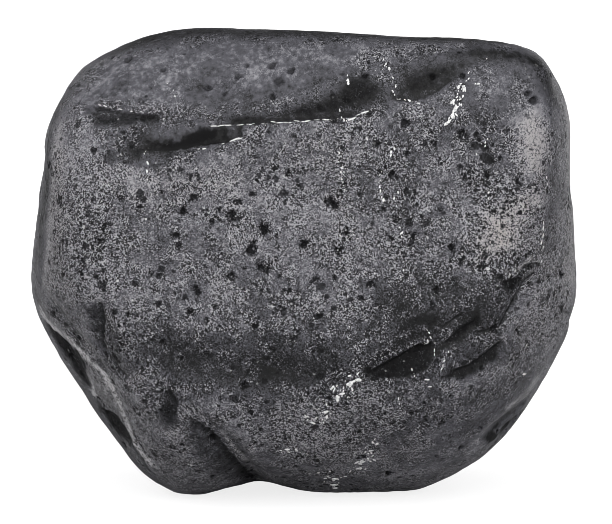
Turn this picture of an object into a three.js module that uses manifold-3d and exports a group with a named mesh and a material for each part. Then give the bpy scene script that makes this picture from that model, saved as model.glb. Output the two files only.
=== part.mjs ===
// A tumbled shungite stone: one pebble of black carbon rock, worn to a satin skin.
//
// Millimetres, +Z up, the front towards -Y, the origin on the floor under the stone's middle.
// The surface is star-shaped: every direction from its heart meets it once. Its radius is a
// round-edged crossing of an outline and a set of worn facets, less the marks that wear has
// left: broad hollows, scars with one sharp lip, grooves and pits. The mesh is fine where a
// mark needs it and coarse elsewhere, and a flat foot is cut off at the floor.

import * as THREE from "three";
import { ImprovedNoise } from "three/addons/math/ImprovedNoise.js";
import { mergeVertices } from "three/addons/utils/BufferGeometryUtils.js";
import Module from "manifold-3d";

// ---------------------------------------------------------------- driving dimensions

const HEART = [0.01, -0.4, 15.2]; // the point above the floor that radii are measured from
const FRONT_TILT = 6; // degrees: the front is drawn as seen from this far above the floor
const RIM_SHARPNESS = 9; // higher makes the edges between the front, rim and back tighter
const FACET_SHARPNESS = 18; // higher makes the edges between two facets tighter
const SWELL = 0.16; // height of the gentle swells that cover the whole skin
const SWELL_LENGTH = 6.5; // from one swell to the next
const LIP = 0.5; // run over which a scar's sharp side climbs back to the skin
const WANDER = 0.3; // how far a mark wanders from its line
const WANDER_LENGTH = 2.6; // from one turn of its wandering to the next
const FADE = 0.3; // a mark fades where the skin turns this far from its viewer

const COARSE_EDGE = 2.4; // longest triangle edge away from every mark
const LIP_EDGE = 0.72; // longest triangle edge on a lip or in a groove
const PIT_EDGE = 0.52; // longest triangle edge at a pit
const EDGE_GROWTH = 2.0; // how fast triangles grow away from a mark
const SAGITTA = 0.08; // most that a chord may stand off the skin
const FIRST_MESH_DETAIL = 8;
const REFINING_ROUNDS = 4;
const SETTLING_ROUNDS = 3;
const LEAST_LIFT = 0.015; // an edge this close to the skin is left as it is
const BETTER = 0.75; // a turned edge must stand off by less than this share of before
const LEAST_FACING = 0.35; // and its triangles must still face outwards

// The front outline, from the heart, as [across, up]: right side first, then anticlockwise.
const OUTLINE = [
  [17.35, 6.7],
  [17.85, 2.1],
  [18.0, -1.5],
  [17.7, -3.85],
  [16.2, -7.15],
  [14.6, -9.8],
  [12.5, -12.4],
  [10.0, -14.1],
  [7.0, -15.25],
  [4.9, -15.6],
  [1.7, -15.5],
  [-1.3, -14.85],
  [-3.0, -14.5],
  [-5.2, -15.0],
  [-7.9, -15.45],
  [-9.35, -14.6],
  [-10.85, -13.75],
  [-12.9, -11.1],
  [-15.6, -7.15],
  [-17.2, -4.5],
  [-17.9, -2.65],
  [-18.0, -1.2],
  [-17.6, 1.8],
  [-17.15, 5.3],
  [-16.85, 8.0],
  [-16.25, 9.8],
  [-14.8, 12.4],
  [-12.7, 13.8],
  [-10.2, 14.8],
  [-7.9, 15.15],
  [-3.6, 15.1],
  [3.0, 14.8],
  [9.65, 14.5],
  [12.9, 14.15],
  [15.05, 13.4],
  [16.55, 11.6],
  [17.3, 9.5],
];

// Worn facets: the way each one faces, as degrees round from the front and degrees up,
// and its distance from the heart.
const FACETS = {
  front_face: { round: 1, up: 5, distance: 12.2 },
  front_brow: { round: -8, up: 37, distance: 15.7 },
  front_chin: { round: 3, up: -31, distance: 14.9 },
  front_heel: { round: 6, up: -60, distance: 15.1 },
  front_left_cheek: { round: -56, up: 4, distance: 20.0 },
  front_left_jaw: { round: -57, up: -29, distance: 17.3 },
  front_right_cheek: { round: 48, up: -7, distance: 18.1 },
  front_right_jaw: { round: 44, up: -26, distance: 17.6 },
  crown: { round: 160, up: 78, distance: 15.4 },
  back_face: { round: 174, up: -6, distance: 12.6 },
  back_brow: { round: 190, up: 34, distance: 14.6 },
  back_left: { round: -128, up: 10, distance: 16.0 },
  back_left_heel: { round: -140, up: -40, distance: 15.2 },
  back_right: { round: 130, up: -4, distance: 16.6 },
  back_right_heel: { round: 152, up: -46, distance: 15.6 },
  foot: { round: 0, up: -90, distance: 15.5 },
};

// Broad hollows: a view that looks at each one, its middle and half sizes in that view,
// its turn in degrees and its depth.
const HOLLOWS = [
  { view: [0, 6], at: [-4.0, -6.7], size: [9.2, 1.9], turn: -4, depth: 0.4 },
  { view: [0, 6], at: [-6.2, 11.3], size: [2.4, 1.9], turn: 30, depth: 0.22 },
  { view: [0, 6], at: [12.1, 6.5], size: [3.1, 5.3], turn: -12, depth: 0.2 },
  { view: [0, 6], at: [-13.5, -3.8], size: [1.6, 2.2], turn: 10, depth: 0.4 },
  { view: [-50, -14], at: [-6.0, -1.6], size: [3.4, 2.4], turn: -75, depth: 0.5 },
  { view: [-50, -14], at: [-4.2, -5.8], size: [2.6, 2.0], turn: -60, depth: 0.4 },
  { view: [90, 0], at: [6.0, 2.0], size: [5.2, 6.0], turn: 20, depth: 0.5 },
  { view: [-90, 0], at: [-6.5, 4.0], size: [5.5, 5.0], turn: -15, depth: 0.45 },
  { view: [180, 0], at: [-5.5, 4.5], size: [7.5, 5.5], turn: 25, depth: 0.7 },
  { view: [180, 0], at: [8.0, -5.0], size: [5.5, 4.0], turn: -30, depth: 0.55 },
  { view: [180, 40], at: [3.0, 2.5], size: [6.5, 3.5], turn: 8, depth: 0.5 },
];

// Scars and grooves: a view that looks at each one, and its line in that view as
// [across, up, width]. A scar is cut on the left of its line, seen along it, to that width,
// and its right side is a sharp lip. A groove is cut on both sides.
const SCARS = [
  // three long scars below the brow
  {
    view: [0, 6],
    depth: 0.5,
    line: [
      [-6.3, 8.6, 0.4],
      [-3.1, 8.7, 0.8],
      [-0.2, 8.9, 1.3],
      [2.6, 9.2, 2.0],
      [4.7, 9.6, 2.5],
      [6.4, 10.1, 2.7],
      [8.4, 10.6, 2.7],
      [10.0, 11.7, 2.0],
      [12.1, 12.8, 0.9],
    ],
  },
  {
    view: [0, 6],
    depth: 0.45,
    line: [
      [-11.0, 6.8, 0.5],
      [-9.4, 6.7, 1.2],
      [-8.2, 6.7, 1.4],
      [-6.6, 7.2, 1.5],
      [-5.3, 7.5, 1.4],
      [-3.9, 7.9, 0.8],
    ],
  },
  {
    view: [0, 6],
    depth: 0.38,
    line: [
      [-7.2, 9.1, 0.4],
      [-8.8, 9.2, 1.0],
      [-10.1, 9.4, 1.2],
      [-11.6, 9.7, 1.3],
      [-13.2, 10.1, 0.9],
      [-13.9, 10.0, 0.5],
    ],
  },
  // the wedge at the left and the crease that runs on from it
  {
    view: [0, 6],
    depth: 0.6,
    line: [
      [-10.9, -7.5, 0.3],
      [-11.7, -7.0, 0.5],
      [-12.4, -6.0, 0.8],
      [-12.7, -5.0, 1.1],
      [-12.8, -3.9, 1.5],
      [-12.6, -3.0, 1.4],
      [-12.8, -2.1, 0.5],
    ],
  },
  // the valley from the left jaw down to the notch between the two feet
  {
    view: [0, 6],
    depth: 0.95,
    line: [
      [-2.3, -15.2, 3.2],
      [-3.0, -14.1, 3.0],
      [-3.9, -12.6, 2.6],
      [-5.1, -11.4, 2.0],
      [-5.9, -10.6, 1.5],
      [-7.2, -9.5, 1.1],
      [-8.4, -8.4, 0.8],
      [-10.6, -8.1, 0.3],
    ],
  },
  // the eye-shaped hollow at the lower right
  {
    view: [0, 6],
    depth: 1.0,
    line: [
      [8.8, -5.4, 0.4],
      [6.9, -5.6, 1.4],
      [6.1, -6.0, 1.6],
      [5.4, -6.3, 1.3],
      [4.5, -6.7, 0.7],
      [3.9, -7.3, 0.3],
    ],
  },
  // the long slit that bounds the lower right shoulder, and the one below it
  {
    view: [0, 6],
    depth: 0.45,
    line: [
      [10.9, -4.8, 0.3],
      [12.6, -4.0, 0.6],
      [13.4, -2.8, 0.8],
      [13.4, -1.9, 0.6],
      [14.8, -0.7, 0.3],
    ],
  },
  {
    view: [0, 6],
    depth: 0.45,
    line: [
      [9.1, -7.1, 0.3],
      [10.1, -6.3, 0.6],
      [11.9, -5.8, 0.8],
      [12.6, -5.1, 0.4],
    ],
  },
  // the dent in the lower right rim
  {
    view: [40, -15],
    depth: 0.65,
    line: [
      [8.4, -4.6, 0.3],
      [6.9, -5.5, 1.6],
      [6.0, -6.0, 2.0],
      [5.2, -6.3, 1.6],
      [4.2, -6.9, 0.4],
    ],
  },
  // the scooped side below the ridge that runs down the left jaw
  {
    view: [-50, -14],
    depth: 0.65,
    line: [
      [-1.0, -8.7, 0.8],
      [-1.4, -6.0, 2.4],
      [-0.8, -3.6, 2.0],
      [-1.7, -1.3, 2.8],
      [-3.0, 0.4, 2.6],
      [-4.4, 1.9, 1.6],
      [-5.6, 3.0, 0.5],
    ],
  },
  // scars on the back, the sides and the crown
  {
    view: [180, 10],
    depth: 0.6,
    line: [
      [-11.5, 6.8, 0.4],
      [-8.5, 6.2, 1.2],
      [-5.5, 4.6, 1.0],
      [-2.2, 4.9, 1.9],
      [1.5, 6.6, 1.4],
      [4.2, 6.9, 0.6],
      [6.5, 8.6, 0.3],
    ],
  },
  {
    view: [180, -10],
    depth: 0.6,
    line: [
      [9.5, 1.5, 0.4],
      [7.4, -0.9, 1.5],
      [4.9, -1.4, 1.1],
      [3.6, -3.9, 0.8],
      [1.0, -4.4, 0.3],
    ],
  },
  {
    view: [95, 0],
    depth: 0.45,
    line: [
      [-5.5, -6.0, 0.3],
      [-3.4, -3.6, 0.9],
      [-0.6, -3.4, 1.4],
      [2.0, -1.6, 1.0],
      [3.2, -1.5, 0.5],
      [5.2, 0.4, 0.3],
    ],
  },
  {
    view: [-90, 0],
    depth: 0.45,
    line: [
      [6.0, 8.6, 0.3],
      [3.8, 6.9, 0.9],
      [1.2, 7.3, 1.5],
      [-2.0, 5.6, 1.2],
      [-3.4, 5.9, 0.6],
      [-5.8, 4.6, 0.3],
    ],
  },
  {
    view: [160, 75],
    depth: 0.45,
    line: [
      [-9.5, 1.6, 0.3],
      [-6.0, -0.6, 0.8],
      [-3.0, -0.2, 1.3],
      [0.5, 1.4, 1.5],
      [3.0, 1.2, 0.8],
      [6.5, 3.4, 0.3],
    ],
  },
  {
    view: [-150, -35],
    depth: 0.5,
    line: [
      [-5.0, 3.0, 0.3],
      [-2.4, 1.2, 1.0],
      [0.4, 1.6, 1.3],
      [3.2, -0.6, 0.4],
    ],
  },
];

const GROOVES = [
  // the fan of grooves above the eye-shaped hollow
  {
    view: [0, 6],
    depth: 0.45,
    line: [
      [4.1, -7.0, 0.25],
      [4.8, -5.8, 0.35],
      [6.1, -4.8, 0.5],
      [7.4, -4.4, 0.5],
      [8.6, -3.9, 0.4],
      [9.6, -3.3, 0.25],
    ],
  },
  {
    view: [0, 6],
    depth: 0.55,
    line: [
      [8.8, -5.6, 0.3],
      [9.8, -4.6, 0.55],
      [10.8, -3.7, 0.3],
    ],
  },
  // a crack down the back
  {
    view: [200, 0],
    depth: 0.35,
    line: [
      [-2.0, -9.5, 0.3],
      [-1.0, -6.8, 0.45],
      [-2.4, -4.2, 0.5],
      [-1.6, -1.0, 0.3],
    ],
  },
];

// Pits that stand out on the front, as [across, up, radius].
const FRONT_PITS = [
  [-4.6, 3.0, 0.5],
  [-2.5, 2.1, 0.55],
  [-3.4, 0.7, 0.5],
  [1.7, 3.8, 0.5],
  [9.4, 0.9, 0.52],
  [0.0, 1.1, 0.42],
  [-2.7, -0.3, 0.44],
  [-8.1, 1.7, 0.44],
  [-7.7, 3.2, 0.42],
  [-6.8, -1.8, 0.44],
  [-7.2, -3.2, 0.44],
  [2.2, 0.7, 0.42],
  [5.6, 5.6, 0.42],
  [8.4, -1.7, 0.42],
];
const FRONT_PIT_DEPTH = 0.75; // share of the pit's radius

// Pits elsewhere are scattered evenly, with sizes and places that vary a little.
const SCATTERED_PITS = 20;
const SCATTERED_RADIUS = [0.42, 0.65];
const GOLDEN_ANGLE = Math.PI * (3 - Math.sqrt(5));

// ---------------------------------------------------------------- directions and views

const MIDDLE = new THREE.Vector3(...HEART);
const { degToRad, seededRandom, lerp, clamp, smoothstep } = THREE.MathUtils;

// The way that a facet faces, or that a viewer is, as a unit vector.
function towards(round, up) {
  const a = degToRad(round);
  const e = degToRad(up);
  return new THREE.Vector3(
    Math.sin(a) * Math.cos(e),
    -Math.cos(a) * Math.cos(e),
    Math.sin(e),
  );
}

// The axes of a view from there: across to the right, up, and out towards the viewer.
function viewAxes([round, tilt]) {
  const out = towards(round, tilt);
  const across = towards(round + 90, 0);
  return { across, up: out.clone().cross(across), out };
}

const FRONT = viewAxes([0, FRONT_TILT]);

// ---------------------------------------------------------------- the unmarked form

const PLANES = Object.values(FACETS).map(({ round, up, distance }) => ({
  normal: towards(round, up),
  distance,
}));

// One over the distance of the facets' common skin, that way.
function facetBound(way) {
  const sum = PLANES.reduce(
    (s, { normal, distance }) =>
      s + Math.max(0, normal.dot(way) / distance) ** FACET_SHARPNESS,
    0,
  );
  return sum ** (1 / FACET_SHARPNESS);
}

// What the rim adds to the skin's bound, against the angle round the front: just enough
// that the skin, bulging to either side of the rim, never shows outside the outline.
const TURN = 2 * Math.PI;
const RIM_STEPS = 720;
const MOST_BULGE = 0.9;
const BULGE_STEPS = 18;

function rimBoundFor(angle, outline) {
  const needs = Array.from({ length: BULGE_STEPS + 1 }, (_, i) => {
    const bulge = lerp(-MOST_BULGE, MOST_BULGE, i / BULGE_STEPS);
    const way = new THREE.Vector3()
      .addScaledVector(FRONT.across, Math.cos(angle) * Math.cos(bulge))
      .addScaledVector(FRONT.up, Math.sin(angle) * Math.cos(bulge))
      .addScaledVector(FRONT.out, Math.sin(bulge));
    const facets = (facetBound(way) / Math.cos(bulge)) ** RIM_SHARPNESS;
    return outline ** -RIM_SHARPNESS - facets;
  });
  return Math.max(0, ...needs);
}

function rimBounds() {
  const curve = new THREE.CatmullRomCurve3(
    OUTLINE.map(([across, up]) => new THREE.Vector3(across, up, 0)),
    true,
    "centripetal",
  );
  const points = curve
    .getPoints(4 * RIM_STEPS)
    .map((p) => [(Math.atan2(p.y, p.x) + TURN) % TURN, Math.hypot(p.x, p.y)])
    .sort((a, b) => a[0] - b[0]);
  let next = 0;
  return Array.from({ length: RIM_STEPS }, (_, i) => {
    const angle = (i * TURN) / RIM_STEPS;
    while (next < points.length - 1 && points[next][0] < angle) next++;
    return rimBoundFor(angle, points[next][1]);
  });
}

const RIM = rimBounds();

function rimBound(angle) {
  const step = (((angle + TURN) % TURN) / TURN) * RIM_STEPS;
  const before = Math.floor(step);
  return lerp(
    RIM[before % RIM_STEPS],
    RIM[(before + 1) % RIM_STEPS],
    step - before,
  );
}

const noise = new ImprovedNoise();

// How far the unmarked skin is from the heart, that way: the facets and the outline's rim
// bound it, their powers' sum rounds the edges, and gentle swells keep it from being plain.
function plainRadius(way) {
  const across = way.dot(FRONT.across);
  const up = way.dot(FRONT.up);
  const rim =
    Math.hypot(across, up) ** RIM_SHARPNESS * rimBound(Math.atan2(up, across));
  const bound = facetBound(way) ** RIM_SHARPNESS + rim;
  const radius = bound ** (-1 / RIM_SHARPNESS);
  const at = way.clone().multiplyScalar(radius / SWELL_LENGTH);
  return radius + SWELL * noise.noise(at.x + 3.1, at.y + 7.7, at.z + 5.3);
}

// ---------------------------------------------------------------- marks

// Where a point lies in a view, measured from the heart, and how much of a mark shows
// there: a mark fades out where the skin turns away from the viewer. The place wanders a
// little, so that no mark is quite smooth.
function seenAt(point, axes) {
  const from = point.clone().sub(MIDDLE);
  const at = point.clone().divideScalar(WANDER_LENGTH);
  const wander = (shift) => WANDER * noise.noise(at.x + shift, at.y, at.z);
  return {
    place: [
      from.dot(axes.across) + wander(11.3),
      from.dot(axes.up) + wander(47.9),
    ],
    shows: smoothstep(from.dot(axes.out) / from.length(), 0, FADE),
  };
}

const bowl = (share) => (share < 1 ? (1 - share) ** 2 : 0);

// Each mark is a function of a point on the skin. It gives the depth cut there and the
// longest triangle edge that shows it.
function hollow({ view, at, size, turn, depth }) {
  const axes = viewAxes(view);
  const cos = Math.cos(degToRad(turn));
  const sin = Math.sin(degToRad(turn));
  return (point) => {
    const { place, shows } = seenAt(point, axes);
    const [x, y] = [place[0] - at[0], place[1] - at[1]];
    const along = (x * cos + y * sin) / size[0];
    const beside = (y * cos - x * sin) / size[1];
    const cut = depth * shows * bowl(along ** 2 + beside ** 2);
    return { cut, edge: COARSE_EDGE };
  };
}

// The nearest place on a line of [across, up, width] points: how far off it is, its width,
// and the side that the point lies on, which is positive on the line's left.
function nearest(line, [x, y]) {
  let best = { distance: Infinity };
  for (let i = 1; i < line.length; i++) {
    const [x0, y0, w0] = line[i - 1];
    const [dx, dy] = [line[i][0] - x0, line[i][1] - y0];
    const length = dx ** 2 + dy ** 2;
    const t = clamp(((x - x0) * dx + (y - y0) * dy) / length, 0, 1);
    const distance = Math.hypot(x - x0 - t * dx, y - y0 - t * dy);
    if (distance < best.distance)
      best = {
        distance,
        side: Math.sign(dx * (y - y0) - dy * (x - x0)),
        width: lerp(w0, line[i][2], t),
      };
  }
  return best;
}

// A trough along a line: its left side is as wide as the line says, and its right side is
// as wide again, or a sharp lip.
function trough({ view, line, depth }, sharp) {
  const axes = viewAxes(view);
  const widest = Math.max(...line.map(([, , width]) => width));
  const smooth = new THREE.CatmullRomCurve3(
    line.map((p) => new THREE.Vector3(...p)),
    false,
    "centripetal",
  )
    .getPoints(4 * line.length)
    .map((p) => p.toArray());
  return (point) => {
    const { place, shows } = seenAt(point, axes);
    if (shows === 0) return { cut: 0, edge: COARSE_EDGE };
    const { distance, side, width } = nearest(smooth, place);
    const run = side < 0 && sharp ? LIP : width;
    const deep = depth * shows * Math.sqrt(width / widest);
    return {
      cut: deep * smoothstep(1 - distance / run, 0, 1),
      edge: LIP_EDGE + EDGE_GROWTH * Math.max(0, distance - LIP),
    };
  };
}

function pit(middle, radius, depth) {
  return (point) => {
    const distance = point.distanceTo(middle);
    return {
      cut: depth * bowl((distance / radius) ** 2),
      edge: PIT_EDGE + EDGE_GROWTH * Math.max(0, distance - radius),
    };
  };
}

const onSkin = (way) =>
  MIDDLE.clone().addScaledVector(way, plainRadius(way));

// The point of the skin that a viewer of the front sees at [across, up].
function frontPoint(across, up) {
  const way = new THREE.Vector3();
  let out = 12;
  for (let step = 0; step < 20; step++) {
    way
      .set(0, 0, 0)
      .addScaledVector(FRONT.across, across)
      .addScaledVector(FRONT.up, up)
      .addScaledVector(FRONT.out, out)
      .normalize();
    const seen = plainRadius(way) * way.dot(FRONT.out);
    out = lerp(out, seen, 0.7);
  }
  return onSkin(way);
}

function scatteredPits() {
  const pits = [];
  for (let i = 0; i < SCATTERED_PITS; i++) {
    const height = 1 - (2 * (i + seededRandom(3 * i + 1))) / SCATTERED_PITS;
    const angle = i * GOLDEN_ANGLE + seededRandom();
    const level = Math.sqrt(Math.max(0, 1 - height ** 2));
    const way = new THREE.Vector3(
      level * Math.cos(angle),
      level * Math.sin(angle),
      height,
    );
    const radius = lerp(...SCATTERED_RADIUS, seededRandom() ** 2);
    pits.push(pit(onSkin(way), radius, 0.55 * radius));
  }
  return pits;
}

const MARKS = [
  ...HOLLOWS.map(hollow),
  ...SCARS.map((scar) => trough(scar, true)),
  ...GROOVES.map((groove) => trough(groove, false)),
  ...FRONT_PITS.map(([across, up, radius]) =>
    pit(frontPoint(across, up), radius, FRONT_PIT_DEPTH * radius),
  ),
  ...scatteredPits(),
];

// ---------------------------------------------------------------- the mesh

// The skin's point that way, less every mark, and the longest edge that it may be part of.
function skin(way) {
  const plain = onSkin(way);
  const marks = MARKS.map((mark) => mark(plain));
  const cut = marks.reduce((sum, mark) => sum + mark.cut, 0);
  return {
    way,
    point: plain.addScaledVector(way, -cut),
    edge: Math.min(...marks.map((mark) => mark.edge)),
  };
}

// Splits every triangle whose edges are too long, round after round. Two triangles that
// share an edge agree on it, so the surface stays closed.
function refine(corners, triangles) {
  const middles = new Map();
  const middle = (a, b) => {
    const key = a < b ? `${a} ${b}` : `${b} ${a}`;
    if (!middles.has(key)) {
      const [p, q] = [corners[a], corners[b]];
      const made = skin(p.way.clone().add(q.way).normalize());
      const chord = p.point.clone().lerp(q.point, 0.5);
      const length = p.point.distanceTo(q.point);
      const split =
        length > Math.min(made.edge, p.edge, q.edge) ||
        (length > LIP_EDGE && chord.distanceTo(made.point) > SAGITTA);
      middles.set(key, split ? corners.push(made) - 1 : null);
    }
    return middles.get(key);
  };
  return triangles.flatMap(([a, b, c]) => {
    const [ab, bc, ca] = [middle(a, b), middle(b, c), middle(c, a)];
    const cuts = [ab, bc, ca].filter((m) => m !== null).length;
    if (cuts === 0) return [[a, b, c]];
    if (cuts === 3)
      return [
        [a, ab, ca],
        [ab, b, bc],
        [ca, bc, c],
        [ab, bc, ca],
      ];
    // Turned so that the uncut edge of two cuts, or the cut edge of one, comes first.
    const first = [ab, bc, ca].findIndex((m) => (m === null) === (cuts === 2));
    const turned = (list) => [...list.slice(first), ...list.slice(0, first)];
    const [p, q, r] = turned([a, b, c]);
    const [pq, qr, rp] = turned([ab, bc, ca]);
    if (cuts === 1)
      return [
        [p, pq, r],
        [pq, q, r],
      ];
    return [
      [p, q, qr],
      [p, qr, rp],
      [rp, qr, r],
    ];
  });
}

// Turns the shared edge of two triangles the other way where that lies closer to the skin,
// so that edges run along the lips and not across them.
function settle(corners, triangles) {
  const lift = (a, b) => {
    const [p, q] = [corners[a], corners[b]];
    const made = skin(p.way.clone().add(q.way).normalize());
    return p.point.clone().lerp(q.point, 0.5).distanceTo(made.point);
  };
  const facesOut = ([a, b, c]) => {
    const [p, q, r] = [corners[a].point, corners[b].point, corners[c].point];
    const normal = q.clone().sub(p).cross(r.clone().sub(p)).normalize();
    return normal.dot(corners[a].way) > LEAST_FACING;
  };
  const owners = new Map();
  triangles.forEach((t, i) =>
    t.forEach((a, k) => owners.set(`${a} ${t[(k + 1) % 3]}`, i)),
  );
  const settled = triangles.map((t) => [...t]);
  const turned = new Set();
  triangles.forEach((t, i) =>
    t.forEach((a, k) => {
      const [b, c] = [t[(k + 1) % 3], t[(k + 2) % 3]];
      const j = owners.get(`${b} ${a}`);
      if (a > b || turned.has(i) || turned.has(j)) return;
      const now = lift(a, b);
      if (now < LEAST_LIFT) return;
      const d = triangles[j].find((corner) => corner !== a && corner !== b);
      const pair = [
        [c, a, d],
        [d, b, c],
      ];
      if (lift(c, d) > BETTER * now || !pair.every(facesOut)) return;
      [settled[i], settled[j]] = pair;
      turned.add(i).add(j);
    }),
  );
  return settled;
}

function pebble() {
  const ball = new THREE.IcosahedronGeometry(1, FIRST_MESH_DETAIL);
  ball.deleteAttribute("normal");
  ball.deleteAttribute("uv");
  const shared = mergeVertices(ball);
  const places = shared.getAttribute("position");
  const corners = Array.from({ length: places.count }, (_, i) =>
    skin(new THREE.Vector3().fromBufferAttribute(places, i).normalize()),
  );
  const order = shared.index.array;
  let triangles = [];
  for (let i = 0; i < order.length; i += 3)
    triangles.push([order[i], order[i + 1], order[i + 2]]);
  for (let round = 0; round < REFINING_ROUNDS; round++)
    triangles = refine(corners, triangles);
  for (let round = 0; round < SETTLING_ROUNDS; round++)
    triangles = settle(corners, triangles);
  return new THREE.BufferGeometry()
    .setAttribute(
      "position",
      new THREE.Float32BufferAttribute(
        corners.flatMap(({ point }) => point.toArray()),
        3,
      ),
    )
    .setIndex(triangles.flat());
}

// ---------------------------------------------------------------- the foot

const wasm = await Module();
wasm.setup();

function solidOf(geometry) {
  const bare = geometry.clone();
  bare.deleteAttribute("normal");
  bare.deleteAttribute("uv");
  const shared = mergeVertices(bare);
  return new wasm.Manifold(
    new wasm.Mesh({
      numProp: 3,
      vertProperties: new Float32Array(shared.getAttribute("position").array),
      triVerts: new Uint32Array(shared.index.array),
    }),
  );
}

function geometryOf(solid) {
  const mesh = solid.getMesh();
  return new THREE.BufferGeometry()
    .setAttribute("position", new THREE.BufferAttribute(mesh.vertProperties, 3))
    .setIndex(new THREE.BufferAttribute(mesh.triVerts, 1))
    .toNonIndexed();
}

// The floor cuts the stone's underside to the flat spots that it rests on.
const FLOOR_BLOCK = 60;
const floor = new THREE.BoxGeometry(FLOOR_BLOCK, FLOOR_BLOCK, FLOOR_BLOCK);
floor.translate(0, 0, -FLOOR_BLOCK / 2);

const stoneGeometry = geometryOf(
  solidOf(pebble()).subtract(solidOf(floor)),
);
stoneGeometry.computeVertexNormals();

const stone = new THREE.Mesh(
  stoneGeometry,
  new THREE.MeshStandardMaterial({
    name: "shungite",
    color: new THREE.Color().setRGB(0.035, 0.034, 0.038),
    roughness: 0.42,
    metalness: 0.0,
  }),
);
stone.name = "stone";

const part = new THREE.Group();
part.name = "shungite_rock";
part.add(stone);

export default part;
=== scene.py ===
"""A tumbled shungite stone, standing on a pale floor in soft studio light."""

import math
import random

import bpy
import numpy as np
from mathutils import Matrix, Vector, bvhtree, kdtree, noise


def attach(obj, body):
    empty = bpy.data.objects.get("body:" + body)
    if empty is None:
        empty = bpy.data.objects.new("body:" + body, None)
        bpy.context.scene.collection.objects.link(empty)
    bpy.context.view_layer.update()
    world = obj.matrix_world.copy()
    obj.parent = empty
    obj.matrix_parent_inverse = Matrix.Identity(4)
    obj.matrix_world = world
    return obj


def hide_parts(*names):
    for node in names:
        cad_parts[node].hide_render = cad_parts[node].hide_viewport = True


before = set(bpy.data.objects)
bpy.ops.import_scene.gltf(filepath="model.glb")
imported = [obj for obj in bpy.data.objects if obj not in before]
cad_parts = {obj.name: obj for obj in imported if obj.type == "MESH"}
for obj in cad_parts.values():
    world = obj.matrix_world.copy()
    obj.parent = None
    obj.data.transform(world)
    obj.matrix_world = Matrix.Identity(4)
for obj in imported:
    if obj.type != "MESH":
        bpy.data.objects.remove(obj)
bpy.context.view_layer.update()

# ---- sides and sizes

MM = 0.001  # lengths are in millimetres up to where they reach a mesh or a node
HEART = np.array((0.01, -0.4, 15.2))  # the stone's middle, above the floor
FAR_OUT = 60.0  # a place well outside the stone
LEAST_FACING = 0.12  # a mark on a side stops where the skin turns away from it
FULL_FACING, CREST_FACING = 0.35, 0.3  # and an area or a crest is whole from here on


class Side:
    """A way of looking at the stone: degrees round to the right of the front, and
    degrees above the floor. Marks are placed on a side as across and up from the heart."""

    def __init__(self, round_about, rise):
        turn, lift = math.radians(round_about), math.radians(rise)
        self.across = np.array((math.cos(turn), math.sin(turn), 0))
        self.out = np.array(
            (math.sin(turn) * math.cos(lift), -math.cos(turn) * math.cos(lift), math.sin(lift))
        )
        self.up = np.cross(self.out, self.across)

    def place(self, across, up):
        """The place of a mark, well outside the stone."""
        return HEART + across * self.across + up * self.up + FAR_OUT * self.out


FRONT = Side(0, 6)
RIGHT = Side(90, 8)
BACK = Side(180, 8)
LEFT = Side(-90, 8)
CROWN = Side(0, 80)

# ---- marks, listed one by one

# Black pits on the front: across, up and radius.
FRONT_PITS = [
    (-7.3, 5.4, 0.26), (-3.2, 4.3, 0.26), (-4.2, 3.8, 0.26), (-4.6, 3.0, 0.4),
    (-5.4, 3.3, 0.24), (-5.8, 2.6, 0.27), (-7.7, 3.2, 0.33), (-7.0, 4.1, 0.3),
    (1.7, 3.8, 0.38), (-2.5, 2.1, 0.44), (-3.4, 0.7, 0.38), (-3.3, 1.1, 0.3),
    (0.0, 1.1, 0.32), (-2.7, -0.3, 0.33), (-8.1, 1.7, 0.32), (-8.0, 1.0, 0.28),
    (-6.8, -1.8, 0.33), (-7.2, -3.2, 0.33), (-5.6, -2.9, 0.2), (2.2, 0.7, 0.33),
    (-4.6, -0.9, 0.33), (-6.3, -0.3, 0.22), (9.4, 0.9, 0.42), (10.1, 8.2, 0.28),
    (5.6, 5.6, 0.34), (8.4, -1.7, 0.3), (4.6, 7.5, 0.26), (6.5, 6.9, 0.24),
    (5.2, 4.1, 0.26), (7.0, 4.4, 0.24), (11.6, 5.5, 0.24), (12.9, 3.9, 0.26),
    (12.0, 3.2, 0.24), (11.2, 2.5, 0.22), (13.6, 5.1, 0.24), (12.6, 2.3, 0.2),
    (-9.6, -0.7, 0.24), (-11.0, 1.5, 0.22), (-10.4, 3.5, 0.22), (-1.2, -3.0, 0.22),
    (0.9, -3.5, 0.24), (3.6, -2.3, 0.26), (-3.1, -4.1, 0.24), (-5.2, -8.7, 0.24),
    (-3.4, -9.5, 0.22), (1.6, -8.7, 0.2), (-9.0, -5.1, 0.24), (-11.2, -3.3, 0.22),
    (-0.8, 12.2, 0.26), (3.9, 11.9, 0.22), (-6.2, 11.1, 0.32), (-9.0, 12.3, 0.22),
    (-2.0, 10.5, 0.26), (-3.6, 12.5, 0.2), (14.2, -7.3, 0.22), (12.2, -8.5, 0.2),
    (2.5, 5.0, 0.26), (2.7, 1.9, 0.3), (6.8, 1.6, 0.34), (4.2, -1.4, 0.28),
    (5.1, 3.4, 0.22), (2.4, 7.2, 0.22), (1.9, -1.0, 0.22), (9.9, 6.0, 0.24),
    (8.6, 3.4, 0.22), (11.0, 1.0, 0.26), (8.0, 8.2, 0.22), (-9.2, -2.6, 0.24),
    (-1.0, 5.6, 0.24), (0.6, -1.2, 0.22), (-2.0, -5.6, 0.22), (5.2, -9.6, 0.22),
]
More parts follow.
